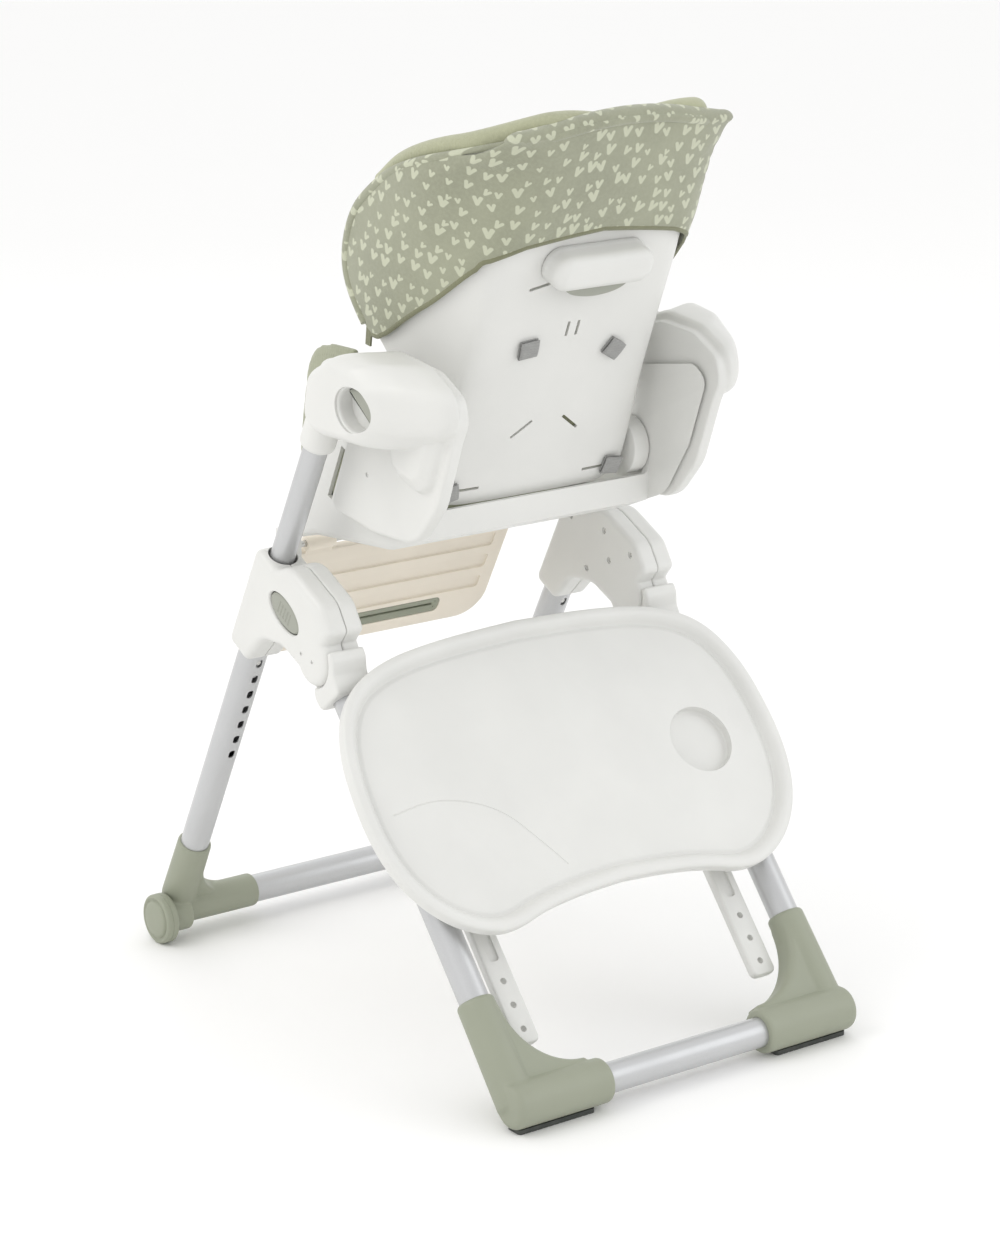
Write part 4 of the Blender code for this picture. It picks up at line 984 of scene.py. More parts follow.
def armrest(name, side):
    x = side * HALF_TRACK
    skirt = rounded([
        (-0.060, 0.626, 0.012),
        (0.030, 0.613, 0.08),
        (0.116, 0.616, 0.05),
        (0.160, 0.668, 0.06),
        (0.188, 0.745, 0.02),
        (0.201, 0.772, 0.02),
        (0.196, 0.800, 0.025),
        (0.150, 0.824, 0.04),
        (0.090, 0.828, 0.05),
        (0.012, 0.806, 0.03),
        (-0.024, 0.712, 0.04),
    ])
    sleeve_profile = [(0, 0.0195), (0.003, 0.0215), (0.11, 0.0225), (0.1145, 0.016)]
    button = ellipse(*HEIGHT_BUTTON_AT, 0.030, 0.024, -0.15)
    parts = [
        pillow(skirt, side * (SEAT_HALF + GAP), side * ARM_SKIRT, high_r=0.005),
        arm_loft(side, ARM_SECTIONS, 16),
        arm_swell(side),
        loft(round_rings(on_front(x, 0.8005), on_front(x, 0.915), sleeve_profile)),
    ]
    lip_x = 0.2635
    cuts = [
        arm_loft(side, ARM_HOLLOW),
        rod(on_front(x, 0.79), on_front(x, 0.903), UPPER_TUBE_R + GAP),
        flared(button, side * ARM_FLOOR, side * lip_x, 0.0025),
    ]
    moulding(f"armrest_{name}", parts, "white", "seat", f"armrest_housing_{name}", cuts, 0.0015, 14)
    low, high = side * (ARM_FLOOR + 0.0038), side * (ARM_FLOOR + 0.0118)
    facing = math.radians(52)
    push = pillow(inset(half_button(button, facing), 0.0006), low, high, high_r=0.003)
    piece(f"height_push_{name}", push, "button", f"height_button_{name}", f"height_button_{name}")
    for i, (face, y, z) in enumerate(((ARM_SKIRT, 0.021, 0.681), (0.2136, 0.124, 0.737))):
        at = Vector((side * (face + 0.0004), y, z))
        screw(f"skirt_screw_{name}_{i}", at, (side, 0, 0), "seat")
    for i, (y, z) in enumerate(((0.098, 0.710), (0.030, 0.700))):
        at = Vector((side * (SEAT_HALF - SEAT_WALL + 0.0004), y, z))
        screw(f"seat_wall_screw_{name}_{i}", at, (-side, 0, 0), "seat")


def upper_tube(name, side):
    x = side * HALF_TRACK
    tube = pipe(on_front(x, 0.450), on_front(x, 0.900), UPPER_TUBE_R, UPPER_TUBE_R - TUBE_WALL, 64)
    hole = rod(on_front(x, TOP_SLOT_T, 0.005), on_front(x, TOP_SLOT_T, 0.03), 0.004)
    piece(f"inner_tube_{name}", tube, "tube", "seat", f"upper_tube_{name}", [hole])


# Seat


def seat_shell():
    outline = rounded([
        (-0.190, 0.556, 0.012),
        (-0.120, 0.575, 0.05),
        (0.035, 0.590, 0.05),
        (0.112, 0.622, 0.05),
        (0.155, 0.690, 0.06),
        (0.186, 0.775, 0.02),
        (0.160, 0.790, 0.02),
        (0.020, 0.765, 0.03),
        (-0.080, 0.742, 0.05),
        (-0.150, 0.662, 0.04),
        (-0.186, 0.590, 0.012),
    ])
    hollow_outline = rounded([
        (-0.176, 0.566, 0.01),
        (-0.120, 0.5805, 0.05),
        (0.034, 0.596, 0.03),
        (LIP_Y, 0.612, 0.012),
        (LIP_Y, LIP_Z, 0),
        (0.260, LIP_Z, 0),
        (0.260, 0.900, 0),
        (-0.300, 0.900, 0),
        (-0.300, 0.612, 0),
        (-0.182, 0.604, 0.01),
    ])
    hollow_half = SEAT_HALF - SEAT_WALL
    bucket = pillow(outline, -SEAT_HALF, SEAT_HALF, low_r=0.010, high_r=0.010)
    hollow = pillow(hollow_outline, -hollow_half, hollow_half, low_r=0.008, high_r=0.008)
    y, z = LEG_REST_AT.y, LEG_REST_AT.z
    lugs = []
    for _, side in SIDES:
        at = side * (SEAT_HALF - 0.007)
        lug = rounded([
            (y - 0.008, z - 0.009, 0.007),
            (y + 0.030, z - 0.009, 0.004),
            (y + 0.030, z + 0.024, 0.001),
            (y - 0.008, z + 0.024, 0.001),
        ])
        lugs.append(pillow(lug, at - 0.0065, at + 0.0065, side_view, 0.001, 0.001, 3))
    ribs = [
        pillow(box_outline(-0.130, low, 0.130, low + 0.0022, 0.001), -0.001, 0.0012, underside)
        for low in (0.040, 0.075, 0.110)
    ]
    behind_lip = block((-hollow_half, LIP_Y + 0.006, 0.55), (hollow_half, 0.25, LIP_Z + 0.01))
    strap_slots = pillow(side_slot(), -0.19, 0.19)
    cuts = [hollow, behind_lip, across(-0.2, 0.2, LEG_REST_AT, ROD_HOLE_R), strap_slots] + ribs
    piece("seat_bucket", bucket, "white", "seat", "seat_shell", cuts, joins=lugs)
    for i, x in enumerate((-0.090, 0.090)):
        lip = Vector((x, 0.0620, 0.6014))
        screw(f"seat_lip_screw_{i}", lip, (0, 0.38, -0.92), "seat", 0.0030)


def side_slot():
    """The long slanted slot through each wall of the bucket, ahead of the arm rest."""
    top, foot = Vector((-0.053, 0.696)), Vector((-0.084, 0.630))
    along = (top - foot).normalized()
    aside = Vector((-along.y, along.x)) * SIDE_SLOT / 2
    return [foot - aside, foot + aside, top + aside, top - aside]


def underside(a, b, h):
    """A point on the bucket's flat underside: a across, b back from its front edge, h into it."""
    start, end = Vector((0, -0.120, 0.575)), Vector((0, 0.035, 0.590))
    along = (end - start).normalized()
    return start + X * a + along * (b - 0.02) + X.cross(along) * h


# Back rest

HALF_WIDTHS = (
    (0, 0.126), (0.01, 0.140), (0.03, 0.146), (0.15, 0.139), (0.33, 0.139), (0.43, 0.152),
    (0.47, 0.156), (BACK_TOP_S, 0.142),
)
WING_DEPTHS = (
    (0, 0.030), (0.05, 0.045), (0.10, 0.062), (0.15, 0.105), (0.19, 0.176), (0.24, 0.197), (0.31, 0.186),
    (0.344, 0.167), (0.377, 0.148), (0.426, 0.105), (0.483, 0.041), (BACK_TOP_S, 0.013),
)
WING_OUTS = (
    (0, 0.150), (0.10, 0.158), (0.14, 0.164), (0.17, 0.171), (0.25, 0.184), (0.31, 0.190),
    (0.40, 0.188), (BACK_TOP_S, 0.147),
)
CORNERS = ((0, 0.028), (0.30, 0.028), (0.36, 0.036), (0.43, 0.060), (BACK_TOP_S, 0.072))


def eased(points, rounds):
    """An open run of points drawn smooth; its ends stay."""
    for _ in range(rounds):
        between = [(a + b * 2 + c) / 4 for a, b, c in zip(points, points[1:], points[2:])]
        points = [points[0]] + between + [points[-1]]
    return points


@functools.cache
def back_line(s, share=1.0, base_steps=8, corner_steps=8, wing_steps=20):
    """The back rest's rear line at height s, from the middle out to a wing's front edge."""
    half, depth, out = curve(HALF_WIDTHS, s), curve(WING_DEPTHS, s), curve(WING_OUTS, s)
    corner = curve(CORNERS, s)
    base = Vector((half - corner, 0))
    right = [base * k / base_steps for k in range(base_steps)]
    tip, knee = Vector((out, depth)), Vector((half, min(corner * 0.7, depth * 0.65)))
    for k in range(corner_steps + 1):
        part = k / corner_steps
        bend = (1 - part) ** 2 * base + 2 * part * (1 - part) * Vector((half, 0)) + part**2 * knee
        right.append(bend)
    for k in range(1, wing_steps + 1):
        part = k / wing_steps * share
        bulge = 0.35 * (out - half) * math.sin(math.pi * part)
        right.append(knee + (tip - knee) * part + Vector((bulge, 0)))
    return eased(right, 2 * corner_steps)


@functools.cache
def back_path(s, away, share=1.0, **steps):
    """The whole line across the chair at height s, moved outwards."""
    right = back_line(s, share, **steps)
    line = [Vector((-p.x, p.y)) for p in right[:0:-1]] + right
    moved = []
    for i, here in enumerate(line):
        before, after = line[max(i - 1, 0)], line[min(i + 1, len(line) - 1)]
        along = (after - before).normalized()
        moved.append(here + Vector((along.y, -along.x)) * away)
    return moved


def crown(s, p):
    """The height of a row's point: near the top the rows drop towards the sides and the wings."""
    share = s / BACK_TOP_S
    sideways = 1.3 * math.tanh((p.x / 0.13) ** 2 / 1.3)
    forwards = min(1.0, max(0.0, p.y / 0.05))
    forwards = forwards * forwards * (3 - 2 * forwards)
    return s - 0.022 * share**4 * sideways - 0.020 * share**8 * forwards


def back_section(s, outer, inner, share=1.0, **steps):
    """A closed U section of the back rest at height s."""
    ring = back_path(s, outer, share, **steps) + back_path(s, inner, share, **steps)[::-1]
    return [on_back(p.x, crown(s, p), p.y) for p in ring]


def tube_path(points, radius, count=8):
    """A solid tube along a run of points."""
    rings = []
    side = None
    for i, here in enumerate(points):
        along = (points[min(i + 1, len(points) - 1)] - points[max(i - 1, 0)]).normalized()
        side = (side - along * side.dot(along)).normalized() if side else along.orthogonal().normalized()
        rings.append(circle(here, side, along.cross(side), radius, count))
    return loft(rings)


# Each strap slot in the panel's left half, as the (x, s) of its two ends
STRAP_SLOTS = (
    (0.078, 0.289, 0.050, 0.295), (0.007, 0.219, 0.007, 0.239), (0.048, 0.086, 0.022, 0.106),
    (0.075, 0.021, 0.108, 0.021),
)


def back_shell():
    rows = 84
    heights = [BACK_TOP_S * k / rows for k in range(rows + 1)]
    rings = [back_section(s, 0, -BACK_THICK) for s in heights]
    hubs, cuts, slots = [], [], []
    for name, side in SIDES:
        hub_out = SEAT_HALF - SEAT_WALL - 0.0008
        hubs.append(across(side * 0.1487, side * hub_out, RECLINE_AT, 0.036, 72, 0.003))
        cuts.append(across(side * (PIN_INNER_X - 0.0005), side * 0.2, RECLINE_AT, 0.0063))
        for k, (a, b, c, d) in enumerate(STRAP_SLOTS):
            ends = (side * a, b), (side * c, d)
            cuts.append(slot_cut(*ends))
            backing = slot_cut(*ends, 0.006, BACK_THICK + 0.0004, BACK_THICK + 0.0016)
            slots.append((f"slot_backing_{name}_{k}", backing))
        seam = [on_back(side * (curve(HALF_WIDTHS, s) - 0.003), s, 0.0006) for s in (
            0.050 + 0.010 * k for k in range(25)
        )]
        cuts.append(tube_path(seam, 0.0013))
    piece("back_panel", loft(rings), "white", "backrest", "back_shell", cuts, joins=hubs)
    for name, backing in slots:
        piece(name, backing, "binding", "backrest")


def slot_cut(first, last, half_wide=0.0019, low=-0.01, high=0.02):
    """A narrow strap slot through the back panel from one (x, s) to another, or the backing behind it."""
    start, end = Vector(first), Vector(last)
    along = (end - start).normalized()
    aside = Vector((-along.y, along.x)) * half_wide
    corners = [(*at, 0.0012) for at in (start - aside, end - aside, end + aside, start + aside)]
    return pillow(rounded(corners, math.radians(45)), low, high, on_back)


# Hood

HOOD_NEAR = 0.0050
HOOD_THICK = 0.0030
HEM = (
    (0, 0.365), (0.222, 0.355), (0.444, 0.336), (0.556, 0.318), (0.667, 0.247), (0.778, 0.194),
    (0.889, 0.173), (1, 0.165),
)
HOOD_STEPS = {"base_steps": 14, "corner_steps": 10, "wing_steps": 36}


def hem_share(i, count):
    """How far along the frame's coarse line the fine line's point i lies."""
    steps = HOOD_STEPS["base_steps"], HOOD_STEPS["corner_steps"], HOOD_STEPS["wing_steps"]
    coarse = (2, 3, 4)
    place = abs(i - (count - 1) / 2)
    read, total = 0.0, sum(coarse)
    for fine, rough in zip(steps, coarse):
        used = min(place, fine)
        read += used / fine * rough
        place -= used
    return read / total


def slack(x, s, w):
    """How far the hood's cloth stands off: soft waves, and light puckers at its right-hand corner."""
    here = Vector((x * 9, s * 9, w * 9))
    wave = noise.noise(here) * 0.0016 + noise.noise(here * 2.7 + Vector((3, 1, 7))) * 0.0007
    corner = math.exp(-(((x + 0.135) / 0.030) ** 2) - ((s - 0.440) / 0.040) ** 2)
    fan = math.sin(math.atan2(s - 0.390, -x - 0.080) * 26)
    return 0.0012 + wave + corner * (0.0012 + 0.0008 * fan)


def hood():
    """A fabric hood over the top of the back rest: one folded sheet, open below and in front."""
    rows, fold = 44, 0.03
    top = BACK_TOP_S
    front_near = -BACK_THICK - HOOD_NEAR
    front_far = front_near - HOOD_THICK
    count = len(back_path(0.4, 0, **HOOD_STEPS))
    hems = [curve(HEM, hem_share(i, count)) for i in range(count)]

    def place(i, s, away, above=0.0):
        p = back_path(s, away, **HOOD_STEPS)[i]
        return on_back(p.x, crown(s, p) + above, p.y)

    def outer(i, s, away):
        """The outer skin at a point, with its slack, tapering to nothing at the hem."""
        flat = back_path(s, away, **HOOD_STEPS)
        p = flat[i]
        before, after = flat[max(i - 1, 0)], flat[min(i + 1, count - 1)]
        along = (after - before).normalized()
        ease = min(1.0, (s - hems[i]) / 0.03)
        out = slack(p.x, s, p.y) * ease
        p = p + Vector((along.y, -along.x)) * out
        return on_back(p.x, crown(s, p), p.y)

    near, thick = HOOD_NEAR, HOOD_THICK
    rings, flats, runs = [], [], {}

    def run_to(i, s):
        """How far along its row a point lies from the middle of the back."""
        if s not in runs:
            row, centre = back_path(s, near, **HOOD_STEPS), count // 2
            lengths = [0.0]
            for before, after in zip(row, row[1:]):
                lengths.append(lengths[-1] + (after - before).length)
            runs[s] = [length - lengths[centre] for length in lengths]
        return runs[s][i]

    for i in range(count):
        hem = hems[i]
        down = [top - (top - hem) * k / rows for k in range(rows + 1)]
        roll = 0.0030
        ring = [outer(i, s, near + thick) for s in reversed(down)]
        flat = [(run_to(i, s), s) for s in reversed(down)]
        run = run_to(i, top)
        for k in range(1, 10):
            angle = math.pi * k / 10
            middle_w = (near + thick + front_far) / 2
            half_w = (near + thick - front_far) / 2 + roll
            w = middle_w + half_w * math.cos(angle)
            ring.append(place(i, top, w, (near + thick + roll) * math.sin(angle)))
            flat.append((run, top + 0.0042 * k))
        for k in range(7):
            ring.append(place(i, top - fold * k / 6, front_far))
            flat.append((run, top + 0.042 + fold * k / 6))
        ring.append(place(i, top - fold, front_near))
        ring.append(place(i, top, front_near, near))
        ring.append(place(i, top, near * 0.5, near))
        ring += [place(i, s, near) for s in down]
        flat += [(run, top)] * (len(ring) - len(flat))
        rings.append(ring)
        flats.append(flat)
    obj = link("hood_cloth", loft(rings))
    show(obj, MATERIAL["print"], "backrest", 60.0)
    flat = obj.data.attributes.new("cloth_at", "FLOAT_VECTOR", "POINT")
    values = [(u, v, 0.0) for column in flats for u, v in column]
    flat.data.foreach_set("vector", np.array(values, np.float32).ravel())
    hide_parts("hood")
    binding = hood_binding(count, hems)


def rim_line(away, low, lift, dip=0.0):
    """A smooth run round the hood's open edge: up one wing, over the top and down the other wing."""
    last, wide = 0.462, 0.112
    heights = [low + (last - low) * k / 14 for k in range(15)]
    right = [(back_path(s, away, **HOOD_STEPS)[-1], s) for s in heights]
    left = [(Vector((-p.x, p.y)), s) for p, s in right]
    over = [(p, BACK_TOP_S) for p in back_path(BACK_TOP_S, away, **HOOD_STEPS)[::-1] if abs(p.x) < wide]
    points = [
        on_back(p.x, crown(s, p) + lift - dip * math.exp(-((p.x / 0.075) ** 2)), p.y)
        for p, s in right + over + left[::-1]
    ]
    return eased(smooth(points, 2), 12)


def rim_roll(name, look, line, radius):
    """A sewn roll of cloth along a line."""
    obj = link(name, tube_path(line, radius, 20))
    lay_cloth(obj, lambda at: at[:, 0] + at[:, 1], lambda at: at[:, 2])
    show(obj, MATERIAL[look], "backrest", 60.0)
    return obj


def hood_edges():
    """The hood's rolled rim, the plain padded roll just inside it, and the tie tab at each end of the hem."""
    rim_roll("hood_rim", "print", rim_line(HOOD_NEAR + HOOD_THICK / 2, 0.172, 0.0, 0.0), 0.0058)
    cushion = rim_roll("head_roll", "roll", rim_line(-0.013, 0.335, 0.012, 0.026), 0.0125)
    for name, side in SIDES:
        tip = back_path(0.170, HOOD_NEAR + HOOD_THICK / 2, **HOOD_STEPS)[-1]
        run = [on_back(side * tip.x, 0.172 - 0.0045 * k, tip.y - 0.004 - 0.0012 * k) for k in range(6)]
        piece(f"hood_tie_{name}", strap(run, BACK_IN, 0.0050, 0.0012), "binding", "backrest", sharp=60.0)


def hood_binding(count, hems):
    """The folded binding sewn along the hood's hem."""
    points, outs = [], []
    for i in range(count):
        line = back_path(hems[i], HOOD_NEAR + HOOD_THICK * 0.5, **HOOD_STEPS)
        p = line[i]
        before, after = line[max(i - 1, 0)], line[min(i + 1, count - 1)]
        along = (after - before).normalized()
        points.append(on_back(p.x, crown(hems[i], p), p.y))
        outs.append((X * along.y - BACK_IN * along.x).normalized())
    section = ((-0.0030, -0.0012), (-0.0032, 0.0010), (-0.0012, 0.0023), (0.0012, 0.0024), (0.0030, 0.0012),
               (0.0032, -0.0008), (0.0010, -0.0018), (-0.0012, -0.0018))
    rings = []
    for i, here in enumerate(points):
        along = (points[min(i + 1, count - 1)] - points[max(i - 1, 0)]).normalized()
        out = (outs[i] - along * outs[i].dot(along)).normalized()
        up = along.cross(out)
        if up.dot(BACK_UP) < 0:
            up = -up
        rings.append([here + up * a + out * b for a, b in section])
    return piece("hood_binding", loft(rings), "binding", "backrest", sharp=60.0)


# Pads


def swell(bm, voxel, pressure, most, name):
    """A pad blown up by cloth simulation from a slightly smaller solid, no point going further than most."""
    obj = link(name, bm)
    skin = obj.modifiers.new("skin", "REMESH")
    skin.mode = "VOXEL"
    skin.voxel_size = voxel
    bake(obj)
    start = np.array([v.co for v in obj.data.vertices])
    cloth = obj.modifiers.new("cloth", "CLOTH")
    cloth.settings.use_pressure = True
    cloth.settings.uniform_pressure_force = pressure
    cloth.settings.effector_weights.gravity = 0
    cloth.settings.tension_stiffness = 12
    cloth.settings.compression_stiffness = 12
    cloth.settings.bending_stiffness = 0.6
    cloth.collision_settings.use_collision = False
    for shot in range(1, 21):
        bpy.context.scene.frame_set(shot)
    bake(obj)
    bpy.context.scene.frame_set(1)
    moved = np.array([v.co for v in obj.data.vertices]) - start
    length = np.linalg.norm(moved, axis=1, keepdims=True)
    moved *= np.minimum(1, most / np.maximum(length, 1e-9))
    obj.data.vertices.foreach_set("co", (start + moved).ravel())
    soft = obj.modifiers.new("soft", "SMOOTH")
    soft.factor = 0.5
    soft.iterations = 4
    fine = obj.modifiers.new("fine", "SUBSURF")
    fine.levels = fine.render_levels = 1
    return bake(obj)


def press(obj, lines, reach, depth, along):
    """Sews channels: points near a line sink along a direction by up to depth."""
    at = np.array([v.co for v in obj.data.vertices])
    normals = np.array([v.normal for v in obj.data.vertices])
    for line in lines:
        away = line(at)
        sink = np.exp(-((away / reach) ** 2)) * depth
        face = np.clip(normals @ np.array(along), 0, 1)
        at -= np.array(along) * (sink * face)[:, None]
    obj.data.vertices.foreach_set("co", at.ravel())
    obj.data.update()


def lay_cloth(obj, u, v):
    """Stores where each point lies on the flat cloth, for the weave."""
    flat = obj.data.attributes.new("cloth_at", "FLOAT_VECTOR", "POINT")
    at = np.array([p.co for p in obj.data.vertices])
    values = np.stack([u(at), v(at), np.zeros(len(at))], 1)
    flat.data.foreach_set("vector", values.astype(np.float32).ravel())


def finish_pad(obj, body, node):
    show(obj, MATERIAL["liner"], body, 180.0)
    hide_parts(node)


def back_coordinates(at):
    """Each point's (x, s, w) on the back rest."""
    away = at - np.array(BACK_FOOT)
    return at[:, 0], away @ np.array(BACK_UP), away @ np.array(BACK_IN)


def back_pad():
    """The padded liner of the back, along the panel and the wings, with two sewn seams."""
    near, thick, shrink = -BACK_THICK - 0.003, 0.020, 0.003
    heights = [0.049 + (0.464 - 0.049) * k / 40 for k in range(41)]
    rings = []
    for k, s in enumerate(heights):
        end = min(k, 40 - k) / 3
        full = 0.45 + 0.55 * math.sin(math.pi / 2 * min(1, end))
        inner = near - shrink - (thick - 2 * shrink) * full
        rings.append(back_section(s, near - shrink, inner, 0.85))
    obj = swell(loft(rings), 0.0055, 4.0, 0.005, "back_liner")

    def seam_at(height):
        return lambda at: back_coordinates(at)[1] - height

    def side_seam(at):
        return np.abs(at[:, 0]) - 0.098

    press(obj, [seam_at(0.150), seam_at(0.300), side_seam], 0.006, 0.006, tuple(BACK_IN))

    def round_the_wings(at):
        return at[:, 0] + np.sign(at[:, 0]) * back_coordinates(at)[2]

    lay_cloth(obj, round_the_wings, seam_at(0.0))
    finish_pad(obj, "backrest", "back_pad")


def liner_ring(y, floor, top, shrink=0.0):
    """A U section across the chair at y: from the floor of the bucket up both sides."""
    half, thick, corner = SEAT_HALF - SEAT_WALL - 0.0013 - shrink, 0.016 - 2 * shrink, 0.035
    floor, top = floor + shrink, top - shrink
    small = corner - 0.008
    turns = [math.pi / 2 * k / 10 for k in range(1, 11)]
    outer = [(half - 0.003, top), (half, top - 0.006), (half, floor + corner)]
    outer += [(half - corner * (1 - math.cos(a)), floor + corner * (1 - math.sin(a))) for a in turns]
    within = half - thick
    inner = [
        (within - small * (1 - math.cos(a)), floor + thick + 0.006 + small * (1 - math.sin(a)))
        for a in reversed(turns)
    ]
    inner += [(within, floor + corner + 0.006), (within, top - 0.008), (within + 0.004, top)]
    ring = [Vector((a, y, b)) for a, b in outer]
    ring += [Vector((-a, y, b)) for a, b in reversed(outer)]
    ring += [Vector((-a, y, b)) for a, b in reversed(inner)]
    return ring + [Vector((a, y, b)) for a, b in inner]


def seat_pad():
    """The padded liner of the seat, with bolsters up both sides."""
    tops = ((-0.172, 0.650), (-0.158, 0.725), (-0.143, 0.785), (-0.115, 0.813), (-0.042, 0.822))
    rings = []
    for k in range(27):
        y = -0.170 + 0.126 * k / 26
        rings.append(liner_ring(y, 0.583 + (y + 0.192) * 0.09, curve(tops, y), 0.0022))
    obj = swell(loft(rings), 0.0050, 4.0, 0.004, "seat_liner")
    lay_cloth(obj, lambda at: at[:, 0] + np.sign(at[:, 0]) * at[:, 2], lambda at: at[:, 1])
    finish_pad(obj, "seat", "seat_pad")


def leg_rest_pad():
    """A quilted pad on the leg rest's front, with two sewn channels."""
    half, low = LEG_REST_HALF - 0.007, LEG_REST_LONG - 0.007
    corners = ((-half, 0.033, 0.01), (half, 0.033, 0.01), (half, low, 0.034), (-half, low, 0.034))
    pad = pillow(rounded(corners), 0.0090, 0.0165, on_leg_rest, 0.003, 0.0035)
    obj = swell(pad, 0.0045, 4.0, 0.0035, "leg_rest_liner")
    centre, down = np.array(LEG_REST_AT), np.array(LEG_REST_DIR)
    press(
        obj,
        [lambda at: (at - centre) @ down - 0.080, lambda at: (at - centre) @ down - 0.130],
        0.005,
        0.004,
        tuple(-LEG_REST_OUT),
    )
    lay_cloth(obj, lambda at: at[:, 0], lambda at: (at - centre) @ down)
    finish_pad(obj, "leg_rest", "leg_rest_pad")


# Handle and harness


def handle():
    """The grab bar across the top of the back, hollow below for the recline lever."""
    outline = box_outline(-0.069, 0.299, 0.069, 0.343, 0.020)
    grip = pillow(outline, -0.034, -0.0062, on_back, low_r=0.014, steps=8)
    flare = pillow(inset(outline, -0.0008), -0.0085, -0.0003, on_back, low_r=0.002)
    mouth = pillow(box_outline(-0.047, 0.28, 0.047, 0.328, 0.004), -0.026, -0.0006, on_back, 0.004)
    moulding("grab_bar", [grip, flare], "white", "backrest", "back_handle", [mouth], 0.0012, 7)
    half, low, high = 0.044, 0.300, 0.316
    arc = [math.pi * k / 40 for k in range(41)]
    shape = [Vector((half * math.cos(a), low - (high - low) * math.sin(a))) for a in arc]
    shape = [Vector((half, high))] + shape + [Vector((-half, high))]
    push = pillow(shape, -0.022, -0.0075, on_back, 0.004, 0.002)
    piece("recline_grip", push, "button", "recline_lever", "recline_lever")


def strap(points, wide, half_wide, half_thick):
    """A flat strap through a run of points, its faces square to the run, with soft edges."""
    section = [
        (half_wide * a, half_thick * b)
        for a, b in ((-1, -0.5), (-0.97, -1), (-0.5, -1), (0, -1), (0.5, -1), (0.97, -1), (1, -0.5),
                     (1, 0.5), (0.97, 1), (0.5, 1), (0, 1), (-0.5, 1), (-0.97, 1), (-1, 0.5))
    ]
    rings = []
    for i, here in enumerate(points):
        along = (points[min(i + 1, len(points) - 1)] - points[max(i - 1, 0)]).normalized()
        side = (wide - along * wide.dot(along)).normalized()
        up = along.cross(side)
        rings.append([here + side * a + up * b for a, b in section])
    return loft(rings)


def harness():
    """Shoulder straps and the buckle that joins them, lying on the pads."""
    lie = 0.0345
    for name, side in SIDES:
        run = []
        for k in range(31):
            part = k / 30
            x = side * (0.045 + (0.022 - 0.045) * part)
            lift = 0.0012 * math.sin(part * math.pi * 3) + 0.001
            run.append(on_back(x, 0.300 + (0.085 - 0.300) * part, lie + lift))
        band = strap(run, X, WEBBING_HALF, 0.0011)
        piece(f"harness_strap_{name}", band, "webbing", "backrest", f"shoulder_strap_{name}", sharp=60.0)
        comfort = []
        for k in range(16):
            part = k / 15
            x = side * (0.043 + (0.031 - 0.043) * part)
            comfort.append(on_back(x, 0.280 + (0.175 - 0.280) * part, lie + 0.0042))
        cover = strap(comfort, X, 0.0185, 0.0022)
        piece(f"strap_cover_{name}", cover, "cloth", "backrest", sharp=60.0)
    corners = ((-0.027, 0.040), (0.027, 0.040), (0.022, 0.083), (-0.022, 0.083))
    outline = rounded([(a, b, 0.010) for a, b in corners])
    clasp = pillow(outline, lie - 0.004, lie + 0.010, on_back, 0.002, 0.006)
    release = ellipse(0, 0.060, 0.010, 0.010)
    ring = [pillow(inset(release, -0.0008), lie + 0.0092, lie + 0.02, on_back)]
    piece("harness_clasp", clasp, "button", "backrest", "harness_buckle", ring)
    dome = pillow(release, lie + 0.0080, lie + 0.0112, on_back, 0.0, 0.002)
    piece("clasp_release", dome, "steel", "backrest")


TAB_HALF = 0.0105
# Each webbing tab as (x, s, lean)
TABS = ((0.059, 0.211, 0.10), (-0.068, 0.195, -0.55), (0.120, 0.022, 0.25), (-0.116, 0.024, -0.15))


def webbing_tabs():
    """Loops of webbing that come through the back panel's slots and fold flat against it."""
    for i, (x, s, lean) in enumerate(TABS):
        along = BACK_UP * math.cos(lean) + X * math.sin(lean)
        wide = X * math.cos(lean) - BACK_UP * math.sin(lean)
        centre = on_back(x, s)
        run = []
        for k in range(25):
            part = k / 24
            if part < 0.42:
                a, w = TAB_HALF - 2 * TAB_HALF * part / 0.42, -0.0014
            elif part < 0.58:
                turn = math.pi * (part - 0.42) / 0.16
                a, w = -TAB_HALF - 0.0016 * math.sin(turn), -0.0030 + 0.0016 * math.cos(turn)
            else:
                back = (part - 0.58) / 0.42
                a, w = -TAB_HALF + 2 * TAB_HALF * back, -0.0046 - 0.0007 * math.sin(math.pi * back)
            run.append(centre + along * a + BACK_IN * w)
        piece(f"webbing_tab_{i}", strap(run, wide, WEBBING_HALF, 0.0007), "webbing", "backrest", sharp=60.0)


# Leg rest


